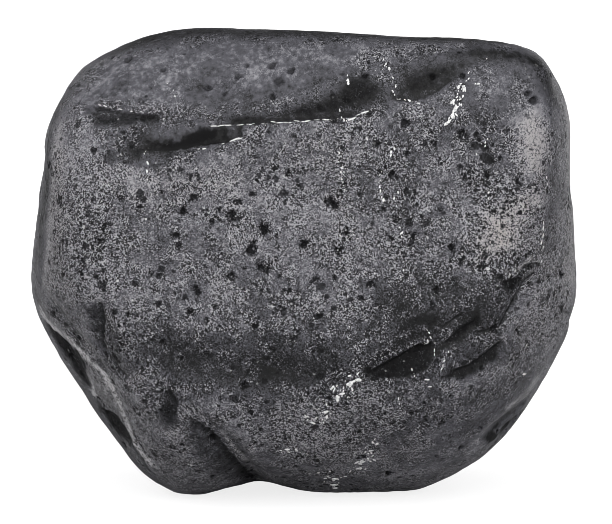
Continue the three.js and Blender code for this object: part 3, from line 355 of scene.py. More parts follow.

# Bright grains along breaks and lips, partly mineral and partly painted glints, and along the lips
# painted highlights: the side, points across and up, grains to a millimetre, their length and
# width, and how far they stray from the line.
VEINS_AND_LIP_GLINTS = [
    # painted highlights along the three lips
    (FRONT, [(-13.2, 10.1), (-12.4, 9.9), (-11.6, 9.7)], 2.6, 0.3, 0.07, 0.01),
    (FRONT, [(-11.3, 9.7), (-10.3, 9.5)], 3.0, 0.16, 0.07, 0.02),
    (FRONT, [(-10.1, 9.5), (-8.8, 9.2), (-6.6, 9.0)], 1.0, 0.12, 0.06, 0.04),
    (FRONT, [(-6.7, 7.1), (-6.2, 7.2)], 4.0, 0.3, 0.12, 0.02),
    (FRONT, [(-5.2, 7.5), (-4.6, 7.7), (-3.9, 7.9)], 3.0, 0.5, 0.12, 0.02),
    (FRONT, [(-5.8, 8.6), (-4.1, 8.7), (-2.5, 8.8)], 2.0, 0.4, 0.07, 0.01),
    (FRONT, [(-2.5, 8.8), (-0.3, 8.9), (1.0, 9.0)], 2.2, 0.38, 0.08, 0.02),
    (FRONT, [(1.0, 9.0), (2.3, 9.1), (3.0, 9.1), (3.9, 9.5)], 2.6, 0.4, 0.1, 0.02),
    # at the left of the hollow, and along it
    (FRONT, [(2.7, 11.8), (2.8, 11.2)], 8.0, 0.22, 0.14, 0.06),
    (FRONT, [(2.3, 9.9), (2.3, 9.5)], 5.0, 0.22, 0.12, 0.03),
    (FRONT, [(2.3, 9.2), (2.5, 8.8)], 5.0, 0.2, 0.12, 0.06),
    (FRONT, [(5.1, 12.9), (5.2, 12.5), (5.1, 12.1)], 7.0, 0.22, 0.13, 0.06),
    (FRONT, [(4.8, 11.9), (4.6, 12.1)], 4.0, 0.16, 0.1, 0.05),
    (FRONT, [(5.6, 11.9), (5.7, 11.3), (5.8, 10.8), (5.9, 10.4)], 3.0, 0.16, 0.1, 0.08),
    (FRONT, [(5.7, 10.5), (6.3, 10.3), (6.7, 10.2), (7.3, 10.1)], 3.4, 0.22, 0.09, 0.03),
    # the bright streak at the upper right
    (FRONT, [(10.5, 12.2), (10.4, 11.7), (10.1, 11.0)], 3.0, 0.2, 0.13, 0.05),
    (FRONT, [(10.2, 11.3), (10.0, 10.8), (9.8, 10.3), (9.7, 9.9)], 11.0, 0.34, 0.18, 0.09),
    (FRONT, [(9.6, 10.0), (9.4, 9.5), (9.2, 9.1), (9.0, 8.7)], 8.0, 0.32, 0.15, 0.07),
    (FRONT, [(9.3, 10.3), (9.6, 10.5)], 4.0, 0.16, 0.08, 0.06),
    (FRONT, [(11.0, 11.4), (10.8, 11.2)], 6.0, 0.2, 0.13, 0.04),
    (FRONT, [(11.6, 13.0), (11.4, 12.7)], 3.0, 0.14, 0.07, 0.04),
    # below it, and down the middle of the face
    (FRONT, [(11.6, 7.9), (11.5, 7.1)], 4.0, 0.2, 0.11, 0.05),
    (FRONT, [(11.0, 7.1), (11.0, 6.2)], 1.6, 0.12, 0.07, 0.06),
    (FRONT, [(2.3, 7.7), (2.3, 6.5), (2.5, 4.6)], 2.6, 0.16, 0.09, 0.05),
    (FRONT, [(2.5, 4.6), (2.6, 2.0), (2.5, 0.0)], 1.5, 0.12, 0.08, 0.12),
    (FRONT, [(2.6, 0.0), (2.7, -2.4), (2.9, -4.3)], 1.0, 0.1, 0.07, 0.15),
    (FRONT, [(5.6, 7.4), (5.6, 6.3)], 3.0, 0.2, 0.11, 0.03),
    (FRONT, [(4.9, 5.8), (4.8, 4.8), (4.9, 3.9)], 3.4, 0.2, 0.12, 0.05),
    (FRONT, [(5.8, 4.6), (5.9, 3.0)], 2.0, 0.14, 0.08, 0.08),
    (FRONT, [(6.1, 2.3), (6.2, 1.5), (6.3, 0.6)], 2.8, 0.16, 0.1, 0.06),
    (FRONT, [(6.1, 0.0), (6.2, -1.5)], 1.4, 0.12, 0.07, 0.1),
    (FRONT, [(2.4, 2.1), (3.1, 1.8)], 8.0, 0.16, 0.1, 0.12),
    (FRONT, [(2.3, 5.3), (2.5, 4.6)], 6.0, 0.14, 0.09, 0.1),
    # by the right cheek
    (FRONT, [(11.7, 4.6), (11.7, 3.9)], 3.0, 0.16, 0.08, 0.02),
    (FRONT, [(15.4, 5.5), (15.6, 4.9)], 2.6, 0.2, 0.08, 0.03),
    (FRONT, [(15.4, 2.6), (15.3, 1.7), (15.1, 0.6), (15.1, 0.0)], 3.4, 0.22, 0.1, 0.03),
    # round the chips
    (FRONT, [(8.2, -1.8), (8.2, -2.4)], 3.4, 0.16, 0.09, 0.03),
    (FRONT, [(7.7, -4.2), (7.9, -4.8), (7.7, -5.3)], 4.4, 0.2, 0.1, 0.05),
    (FRONT, [(8.3, -5.5), (8.3, -6.0)], 4.0, 0.3, 0.1, 0.02),
    (FRONT, [(9.2, -5.5), (9.0, -6.2), (8.6, -6.9)], 2.6, 0.14, 0.09, 0.08),
    (FRONT, [(6.9, -6.8), (7.0, -7.3)], 5.0, 0.26, 0.1, 0.02),
    (FRONT, [(6.0, -8.6), (6.0, -9.1)], 4.4, 0.3, 0.09, 0.02),
    (FRONT, [(7.6, -7.5), (8.1, -7.9)], 3.4, 0.24, 0.08, 0.05),
    (FRONT, [(7.1, -7.6), (7.5, -8.0)], 3.0, 0.14, 0.07, 0.06),
    (FRONT, [(14.3, -5.3), (14.4, -5.9)], 3.4, 0.24, 0.1, 0.02),
    (FRONT, [(14.1, -7.1), (14.4, -7.3)], 8.0, 0.24, 0.2, 0.05),
    (FRONT, [(14.0, -6.6), (14.4, -6.7)], 4.0, 0.12, 0.08, 0.08),
    # on the chin
    (FRONT, [(3.4, -7.3), (3.0, -7.7), (2.9, -8.0)], 11.2, 0.34, 0.18, 0.14),
    (FRONT, [(2.6, -8.1), (2.4, -8.5), (2.2, -8.9)], 9.6, 0.34, 0.17, 0.14),
    (FRONT, [(2.1, -7.7), (2.0, -8.2)], 6.4, 0.29, 0.13, 0.09),
    (FRONT, [(1.4, -9.3), (1.1, -9.6), (0.9, -9.9)], 11.2, 0.31, 0.17, 0.17),
    (FRONT, [(0.6, -10.1), (0.1, -10.1), (-0.1, -10.4)], 7.0, 0.31, 0.14, 0.1),
    (FRONT, [(1.3, -9.9), (1.2, -10.3)], 6.4, 0.23, 0.12, 0.09),
    (FRONT, [(4.7, -11.3), (4.6, -11.7)], 7.0, 0.29, 0.16, 0.09),
    (FRONT, [(4.4, -12.1), (4.3, -12.5), (4.5, -12.8)], 11.2, 0.34, 0.16, 0.12),
    (FRONT, [(3.7, -12.8), (3.5, -13.2), (3.3, -13.5)], 12.8, 0.38, 0.16, 0.15),
    (FRONT, [(1.9, -14.0), (1.8, -14.3), (2.1, -14.5)], 22.4, 0.34, 0.23, 0.17),
    (FRONT, [(3.0, -13.6), (2.5, -13.8)], 3.8, 0.2, 0.11, 0.1),
    (FRONT, [(-1.4, -11.9), (-0.9, -12.3)], 6.4, 0.29, 0.16, 0.12),
    (FRONT, [(-0.5, -12.0), (-0.3, -12.3)], 4.8, 0.23, 0.13, 0.09),
    # at the left, and on the crown
    (FRONT, [(-10.1, 7.2), (-10.0, 6.5), (-9.9, 5.7)], 2.2, 0.24, 0.1, 0.03),
    (FRONT, [(-9.9, 5.7), (-9.9, 5.1)], 1.4, 0.14, 0.08, 0.04),
    (FRONT, [(-4.9, 2.2), (-4.6, 1.4)], 2.0, 0.16, 0.06, 0.04),
    (FRONT, [(-10.0, 3.2), (-10.0, 2.5)], 2.2, 0.14, 0.07, 0.05),
    (FRONT, [(-8.9, 11.5), (-8.5, 10.8), (-8.4, 10.4)], 2.4, 0.14, 0.07, 0.06),
    (FRONT, [(4.6, 14.7), (4.8, 14.4)], 3.0, 0.12, 0.08, 0.04),
    # on the other sides
    (BACK, [(-4.0, 9.0), (-3.6, 6.5), (-4.1, 4.0)], 2.2, 0.22, 0.12, 0.08),
    (BACK, [(5.2, 1.5), (5.9, -0.5), (5.6, -2.0)], 3.0, 0.24, 0.13, 0.08),
    (BACK, [(-9.5, -3.0), (-8.9, -5.2)], 2.4, 0.2, 0.11, 0.06),
    (RIGHT, [(2.5, 4.0), (2.9, 2.0), (2.4, 0.5)], 2.4, 0.2, 0.11, 0.07),
    (LEFT, [(-4.0, -2.0), (-3.4, -4.2)], 2.4, 0.2, 0.11, 0.07),
    (CROWN, [(5.0, -1.0), (5.6, 1.6), (5.2, 3.4)], 2.4, 0.22, 0.12, 0.08),
]

# ---- the fine skin

EVEN_STEP = 0.44  # between the points of the even skin, before it is refined
SAME_POINT = 0.001  # corners of the solid's triangles nearer than this are one point
SWELLS = (2.6, 0.16)  # the length and height of the gentle unevenness of tumbling
DIMPLES = (0.9, 0.07)
NEAR_ROUNDS, BROAD_ROUNDS = 10, 90  # of relaxing, to find creases and hollows
FINE_FROM = -0.08  # the skin is finer where it faces the front at least this much


def only(piece):
    """Selects one piece and nothing else."""
    bpy.ops.object.select_all(action="DESELECT")
    piece.select_set(True)
    bpy.context.view_layer.objects.active = piece


def finished(piece, kind, **settings):
    """Adds a modifier to the piece and applies it."""
    only(piece)
    bpy.ops.object.modifier_add(type=kind)
    modifier = piece.modifiers[-1]
    for setting, value in settings.items():
        setattr(modifier, setting, value)
    bpy.ops.object.modifier_apply(modifier=modifier.name)


def even_copy(node, name):
    """A copy of the node with its triangles joined, rounded and divided evenly."""
    copy = bpy.data.objects.new(name, node.data.copy())
    bpy.context.scene.collection.objects.link(copy)
    only(copy)
    bpy.ops.object.mode_set(mode="EDIT")
    bpy.ops.mesh.select_all(action="SELECT")
    bpy.ops.mesh.remove_doubles(threshold=SAME_POINT * MM)
    bpy.ops.object.mode_set(mode="OBJECT")
    finished(copy, "SUBSURF", levels=2, render_levels=2)
    finished(copy, "REMESH", mode="VOXEL", voxel_size=EVEN_STEP * MM, use_smooth_shade=True)
    finished(copy, "SMOOTH", factor=0.5, iterations=4)
    return copy


def roughened(piece, name, length, height):
    """Raises and lowers the skin by gentle clouds of that length and height."""
    pattern = bpy.data.textures.new(name, "CLOUDS")
    pattern.noise_scale = length * MM
    pattern.noise_depth = 2
    finished(piece, "DISPLACE", texture=pattern, texture_coords="LOCAL", strength=height * MM,
             mid_level=0.5)


pebble = even_copy(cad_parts["stone"], "pebble")
skin = pebble.data


def read(name):
    """A vector of every point of the skin, as rows."""
    flat = np.empty(3 * len(skin.vertices), np.float32)
    skin.vertices.foreach_get(name, flat)
    return flat.reshape(-1, 3).astype(float)


def smoothstep(value, none, full):
    share = np.clip((value - none) / (full - none), 0, 1)
    return share * share * (3 - 2 * share)


class Skin:
    """The skin's points and normals as they stand now."""

    def __init__(self):
        self.points = read("co") / MM
        self.normals = read("normal")

    def edges(self):
        ends = np.empty(2 * len(skin.edges), np.int32)
        skin.edges.foreach_get("vertices", ends)
        return ends.reshape(-1, 2)

    def noise(self, length, seed):
        """Noise between about -1 and 1, with that length between its swells."""
        shift = Vector((seed * 17.3, seed * 5.1, seed * 29.7))
        return np.array([noise.noise(Vector(p) / length + shift) for p in self.points])

    def tree(self):
        made = kdtree.KDTree(len(self.points))
        for index, point in enumerate(self.points):
            made.insert(point, index)
        made.balance()
        return made

    def facing(self, side):
        return self.normals @ side.out

    def seen_from(self, side):
        """The points' places across and up on a side."""
        from_heart = self.points - HEART
        return from_heart @ side.across, from_heart @ side.up

    def distance(self, side, line):
        """How far the points are from a line drawn on a side, the share of it passed, and
        whether they are on its left."""
        x, y = self.seen_from(side)
        best = np.full(len(x), FAR_OUT)
        along = np.zeros(len(x))
        left = np.zeros(len(x), bool)
        length = 0.0
        for (x0, y0), (x1, y1) in zip(line, line[1:]):
            dx, dy = x1 - x0, y1 - y0
            span = math.hypot(dx, dy)
            share = np.clip(((x - x0) * dx + (y - y0) * dy) / span**2, 0, 1)
            away = np.hypot(x - x0 - share * dx, y - y0 - share * dy)
            along = np.where(away < best, length + share * span, along)
            left = np.where(away < best, dx * (y - y0) > dy * (x - x0), left)
            best = np.minimum(away, best)
            length += span
        best = np.where(self.facing(side) > LEAST_FACING, best, FAR_OUT)
        return best, along / length, left

    def outside(self, side, outline):
        """How far the points are outside a closed outline drawn on a side, less than
        nought inside it."""
        x, y = self.seen_from(side)
        closed = [*outline, outline[0]]
        distance = self.distance(side, closed)[0]
        inside = np.zeros(len(x), bool)
        for (x0, y0), (x1, y1) in zip(closed, closed[1:]):
            if y0 != y1:
                beside = x < x0 + (x1 - x0) * (y - y0) / (y1 - y0)
                inside ^= ((y0 > y) != (y1 > y)) & beside
        return np.where(inside & (distance < FAR_OUT), -distance, distance)


def relaxed(points, edges, rounds):
    """The points after each has moved to the middle of its neighbours, that many times."""
    count = np.bincount(edges.ravel(), minlength=len(points))[:, None]
    for _ in range(rounds):
        total = np.zeros_like(points)
        for here, there in (edges.T, edges.T[::-1]):
            for axis in range(3):
                total[:, axis] += np.bincount(here, points[there, axis], len(points))
        points = total / count
    return points


def paint(name, values):
    """Keeps a number for every point of the skin, for its finish to read."""
    layer = skin.attributes.new(name, "FLOAT", "POINT")
    layer.data.foreach_set("value", values.astype(np.float32))


def painted(name):
    values = np.empty(len(skin.vertices), np.float32)
    skin.attributes[name].data.foreach_get("value", values)
    return values.astype(float)


def refine(wanted):
    """Halves the edges of every face that has a wanted point."""
    corners = np.empty(len(skin.loops), np.int32)
    skin.loops.foreach_get("vertex_index", corners)
    starts = np.empty(len(skin.polygons), np.int32)
    skin.polygons.foreach_get("loop_start", starts)
    chosen = np.logical_or.reduceat(wanted[corners], starts)
    only(pebble)
    bpy.ops.object.mode_set(mode="EDIT")
    bpy.ops.mesh.select_mode(type="FACE")
    bpy.ops.mesh.select_all(action="DESELECT")
    bpy.ops.object.mode_set(mode="OBJECT")
    skin.polygons.foreach_set("select", chosen)
    bpy.ops.object.mode_set(mode="EDIT")
    bpy.ops.mesh.subdivide(number_cuts=1, smoothness=0)
    bpy.ops.object.mode_set(mode="OBJECT")


even = Skin()
even_edges = even.edges()
near = relaxed(even.points, even_edges, NEAR_ROUNDS)
broad = relaxed(near, even_edges, BROAD_ROUNDS)
# how far each point lies in a crease and in a hollow: creases are painted darker as shade, and
# crests lighter as wear
paint("crease_shade_and_wear", np.einsum("ij,ij->i", near - even.points, even.normals))
paint("sunk", np.einsum("ij,ij->i", broad - near, even.normals))

refine(even.facing(FRONT) > FINE_FROM)
finished(pebble, "SMOOTH", factor=0.5, iterations=2)
roughened(pebble, "tumbling swells", *SWELLS)
roughened(pebble, "tumbling dimples", *DIMPLES)

# ---- pits and ledges

SCATTERED_PITS = 520  # tried all over the stone; about half of them stay
SMALLEST_PIT, LARGEST_PIT = 0.13, 0.38  # radius
MOSTLY_SMALL = 2.2  # the higher, the fewer large pits
CLUSTER = 4.0  # between the places where pits crowd together
PIT_DEPTH, PIT_REACH = 0.75, 1.8  # of its radius, with its ragged edge
LEDGE_REACH = 0.3  # the skin is refined again this near to a ledge
NO_PIT = 2.0  # a pit is nought in its middle and one at its edge


def surface():
    """The skin as it stands, for lines of sight to meet."""
    faces = [tuple(polygon.vertices) for polygon in skin.polygons]
    return bvhtree.BVHTree.FromPolygons([Vector(point) for point in Skin().points], faces)


def pit_places():
    """Every pit's middle on the skin and its radius: those of the front, then the rest."""
    shell = surface()
    for across, up, radius in FRONT_PITS:
        yield shell.ray_cast(FRONT.place(across, up), -FRONT.out)[0], radius
    scatter = random.Random(5)
    for _ in range(SCATTERED_PITS):
        middle = Vector(even.points[scatter.randrange(len(even.points))])
        crowding = noise.noise(middle / CLUSTER)
        size = scatter.random() ** MOSTLY_SMALL
        if scatter.random() < 0.45 + 0.6 * crowding:
            yield middle, SMALLEST_PIT + (LARGEST_PIT - SMALLEST_PIT) * size


PITS = list(pit_places())
now = Skin()
marked = np.zeros(len(now.points), bool)
tree = now.tree()
for middle, radius in PITS:
    for _, index, _ in tree.find_range(middle, 1.15 * radius + 0.05):
        marked[index] = True
for side, line, *_ in LEDGES:
    marked |= now.distance(side, line)[0] < LEDGE_REACH
refine(marked)

now = Skin()
ragged = now.noise(0.33, 1) + 0.6 * now.noise(0.16, 3)  # for edges, crumbled finely
wander = now.noise(1.3, 2)  # for edges, bent to and fro
cut = np.zeros(len(now.points))  # how deep the skin is cut in
pit = np.full(len(now.points), NO_PIT)
# the painted shade under each ledge
shade = np.zeros(len(now.points))  # how dark it is under a ledge
brink = np.zeros(len(now.points))  # how close it is to a ledge's top

for side, line, reach, drop, darkness in LEDGES:
    distance, along, left = now.distance(side, line)
    across = np.where(left, distance, -distance) + 0.1 * wander + 0.08 * ragged
    whole = smoothstep(along, 0, 0.15) * smoothstep(along, 1, 0.85)
    below = whole * smoothstep(across, -0.06, 0.1) * smoothstep(across, reach, 0)
    cut += drop * below
    shade = np.maximum(shade, darkness * below)
    beyond = smoothstep(across, 0.04, -0.1) * smoothstep(across, -0.8 * reach, -0.3 * reach)
    brink = np.maximum(brink, whole * beyond)

tree = now.tree()
for middle, radius in PITS:
    for _, index, distance in tree.find_range(middle, PIT_REACH * radius):
        share = max(0.0, 1.3 * distance / radius + 0.8 * ragged[index])
        pit[index] = min(pit[index], share)
        cut[index] += PIT_DEPTH * radius * (1 - min(share, 1) ** 2)

dug = now.points - now.normals * cut[:, None]
dug[:, 2] = np.maximum(dug[:, 2], 0)  # nothing is below the floor
skin.vertices.foreach_set("co", (dug * MM).astype(np.float32).ravel())
skin.update()

# ---- what the finish reads


def strength(areas):
    """How strongly each point of the skin lies in any of the areas."""
    strongest = np.zeros(len(now.points))
    for side, outline, softness, amount in areas:
        outside = now.outside(side, outline) + 0.16 * wander + 0.1 * ragged
        fade = smoothstep(now.facing(side), LEAST_FACING, FULL_FACING)
        inside = smoothstep(outside, softness, -softness)
        strongest = np.maximum(strongest, amount * fade * inside)
    return strongest


worn_and_highlighted_crests = np.zeros(len(now.points))
for side, line, width, amount in WORN_AND_HIGHLIGHTED_CRESTS:
    distance, along, _ = now.distance(side, line)
    distance = np.maximum(distance + 0.05 * wander + 0.06 * ragged, 0)
    whole = smoothstep(along, 0, 0.08) * smoothstep(along, 1, 0.92)
    fade = smoothstep(now.facing(side), LEAST_FACING, CREST_FACING) * (1 + 0.4 * wander)
    wear_and_painted_light = amount * whole * fade * smoothstep(distance, width, 0)
    worn_and_highlighted_crests = np.maximum(worn_and_highlighted_crests, wear_and_painted_light)

# hollows and the shade under ledges are painted darker, partly as bare stone and partly as painted
# shade; ledge tops and crests stay lighter
sunk = 0.8 * smoothstep(painted("sunk"), 0.05, 0.35)
black_and_shade = np.maximum(strength(BLACK_AND_SHADED_AREAS), sunk) * (1 - 0.8 * brink)
paint("black_and_shade", np.maximum(black_and_shade, shade) * (1 - 0.8 * worn_and_highlighted_crests))
paint("crest_wear_and_highlight", worn_and_highlighted_crests)
# dim areas: scuffed less, and partly painted shade
paint("dim_and_shade", strength(DIM_AND_SHADED_AREAS))
# pale areas: scuffed more, and partly a painted highlight
paint("pale_and_highlight", strength(PALE_AND_HIGHLIGHT_AREAS))
paint("rubbed", strength(RUBBED_AREAS))
paint("coarse", strength(COARSE_AREAS))
paint("pit", np.clip(pit, 0, NO_PIT))
skin.attributes.remove(skin.attributes["sunk"])

# ---- bright grains

MORE, WIDER = 1.15, 1.8  # how much the grains' number and their stray are raised
GRAIN_SHAPE = (1.15, 1.1, 0.7)  # of the grain's length, its width and its width again
MOST_TURN = 0.5  # of a grain away from its line, in radians


def grain_pattern():
    """The points and faces of one rough grain, two units long each way."""
    bpy.ops.object.select_all(action="DESELECT")
    bpy.ops.mesh.primitive_ico_sphere_add(subdivisions=1, radius=1)
    pattern = bpy.context.active_object
    corners = np.array([vertex.co for vertex in pattern.data.vertices])
    faces = np.array([polygon.vertices for polygon in pattern.data.polygons])
    bpy.data.objects.remove(pattern)
    return corners, faces


def grain_places():
    """Where the bright grains lie: their middles, normals, directions and sizes."""
    shell = surface()
    scatter = random.Random(11)
    for side, line, density, length, width, stray in VEINS_AND_LIP_GLINTS:
        for (x0, y0), (x1, y1) in zip(line, line[1:]):
            span = math.hypot(x1 - x0, y1 - y0)
            count = max(1, round(MORE * density * span))
            for step in range(count):
                share = (step + scatter.uniform(0.15, 0.85)) / count
                across = x0 + share * (x1 - x0) + scatter.gauss(0, WIDER * stray)
                up = y0 + share * (y1 - y0) + scatter.gauss(0, WIDER * stray)
                place, normal, _, _ = shell.ray_cast(side.place(across, up), -side.out)
                turn = scatter.gauss(math.atan2(y1 - y0, x1 - x0), min(MOST_TURN, 6 * stray))
                way = math.cos(turn) * side.across + math.sin(turn) * side.up
                size = 0.35 + 1.2 * scatter.random() ** 1.5
                if place:
                    yield place, normal, Vector(way), size * length, size * width


def bright_grains(name):
    """All the bright grains, joined in one mesh and sunk in the skin."""
    corners, faces = grain_pattern()
    shake = np.random.default_rng(7)
    points, polygons = [], []
    for place, normal, way, length, width in grain_places():
        way = (way - normal * way.dot(normal)).normalized()
        beside = normal.cross(way)
        half = np.array(GRAIN_SHAPE) * (length, width, width) / 2
        rough = corners * shake.uniform(0.7, 1.2, corners.shape) * half
        polygons.extend((faces + len(points)).tolist())
        points.extend(rough @ np.array((way, beside, normal)) + np.array(place))
    mesh = bpy.data.meshes.new(name)
    mesh.from_pydata(np.array(points) * MM, [], polygons)
    grains = bpy.data.objects.new(name, mesh)
    bpy.context.scene.collection.objects.link(grains)
    return grains


grains = bright_grains("bright_grains")

# ---- finishes


class Amount:
    """A number that varies over a surface: a node's output, with the sums done on it."""

    def __init__(self, finish, socket):
        self.finish = finish
        self.socket = socket

    def _sum(self, operation, *terms):
        return self.finish.node("ShaderNodeMath", {"operation": operation}, dict(enumerate(terms)))

    def __add__(self, other):
        return self._sum("ADD", self, other)

    def __radd__(self, other):
        return self._sum("ADD", other, self)

    def __sub__(self, other):
        return self._sum("SUBTRACT", self, other)

    def __rsub__(self, other):
        return self._sum("SUBTRACT", other, self)

    def __mul__(self, other):
        return self._sum("MULTIPLY", self, other)

    def __rmul__(self, other):
        return self._sum("MULTIPLY", other, self)

    def above(self, none, full):
        """Nought up to the first value, rising smoothly to one at the second."""
        return self.finish.node(
            "ShaderNodeMapRange",
            {"interpolation_type": "SMOOTHSTEP"},
            {"Value": self, "From Min": none, "From Max": full},
        )

    def below(self, full, none):
        """One up to the first value, falling smoothly to nought at the second."""
        return 1 - self.above(full, none)

    def clamped(self):
        return self.finish.node("ShaderNodeClamp", {}, {"Value": self})


class Finish:
    """A material or a world, and the nodes it is made of."""

    def __init__(self, owner):
        owner.use_nodes = True
        self.nodes = owner.node_tree.nodes
        self.links = owner.node_tree.links

    def node(self, kind, settings=None, inputs=None, output=0):
        """One node: its settings are set first, then its sockets' values or links."""
        made = self.nodes.new(kind)
        for setting, value in (settings or {}).items():
            setattr(made, setting, value)
        self.feed(made, inputs or {})
        return Amount(self, made.outputs[output])

    def feed(self, node, inputs):
        for name, value in inputs.items():
            if isinstance(value, Amount):
                self.links.new(value.socket, node.inputs[name])
            else:
                node.inputs[name].default_value = value

    def painted(self, name):
        return self.node("ShaderNodeAttribute", {"attribute_name": name}, output="Fac")

    def clouds(self, length, detail=2.0, rough=0.5):
        """Soft noise with about that many millimetres between its swells."""
        return self.node(
            "ShaderNodeTexNoise",
            {},
            {
                "Vector": self.node("ShaderNodeTexCoord", output="Object"),
                "Scale": 1 / (length * MM),
                "Detail": detail,
                "Roughness": rough,
            },
        )

    def grains(self, length):
        """A number of its own for each of many small grains of about that length."""
        return self.node(
            "ShaderNodeTexVoronoi",
            {},
            {
                "Vector": self.node("ShaderNodeTexCoord", output="Object"),
                "Scale": 1 / (length * MM),
            },
            "Color",
        )

    def spots(self, length, share, crowding):
        """Small ragged spots, the largest about that length across, in some places."""
        place = self.node("ShaderNodeTexCoord", output="Object")
        shake = self.node(
            "ShaderNodeTexNoise", {}, {"Vector": place, "Scale": 2.5 / (length * MM)}, "Color"
        )
        shaken = self.node(
            "ShaderNodeVectorMath",
            {"operation": "MULTIPLY_ADD"},
            {0: shake, 1: (0.7 * length * MM,) * 3, 2: place},
        )
        away = self.node(
            "ShaderNodeTexVoronoi", {}, {"Vector": shaken, "Scale": 1 / (length * MM)}
        )
        number = Amount(self, away.socket.node.outputs["Color"])
        return (0.5 * crowding - 0.5 / share * number - away).above(-0.05, 0.1)

    def blend(self, amount, first, second):
        """The first colour where the amount is nought, and the second where it is one."""
        return self.node(
            "ShaderNodeMix", {"data_type": "RGBA"}, {"Factor": amount, 6: first, 7: second}, 2
        )

    def mixed(self, amount, first, second):
        """The first shader where the amount is nought, and the second where it is one."""
        return self.node("ShaderNodeMixShader", {}, {0: amount, 1: first, 2: second})

    def show(self, shader):
        self.feed(self.nodes["Material Output"], {"Surface": shader})


# the black of bare stone, also used for painted shade
BARE_AND_SHADED_BLACK = (0.0045, 0.0045, 0.005, 1)
SCUFFED_GREY = (0.1, 0.099, 0.115, 1)
# pale scratches, also used for painted highlights, and a warmer pale where a highlight's sheen is
# painted
PALE_SCRATCH_AND_HIGHLIGHT = (0.378, 0.374, 0.398, 1)
WARM_SCRATCH_AND_HIGHLIGHT = (0.4, 0.376, 0.37, 1)
# worn crests, with a painted highlight
WORN_AND_HIGHLIGHTED_CREST = (0.62, 0.61, 0.63, 1)
# bright mineral, also used for painted glints
BRIGHT_MINERAL_AND_GLINT = (0.9, 0.9, 0.9, 1)
CLOUDY_MINERAL = (0.6, 0.6, 0.6, 1)

# The lengths of the stone's patterns, from the finest up, and of its specks.
FINE, GRIT, CRUMB, MOTTLE, SAND = 0.07, 0.13, 0.17, 0.3, 0.4
ROUGH_PATCH, BLOTCH, PATCH, CROWD, ZONE = 1.0, 1.2, 1.4, 2.6, 4.6
LARGE_SPECK, SMALL_SPECK, TINY_SPECK, GLINT = 0.6, 0.3, 0.15, 0.24
RELIEF = 0.08  # the most that the finest unevenness stands out
CLOUD = 0.12  # in the bright mineral


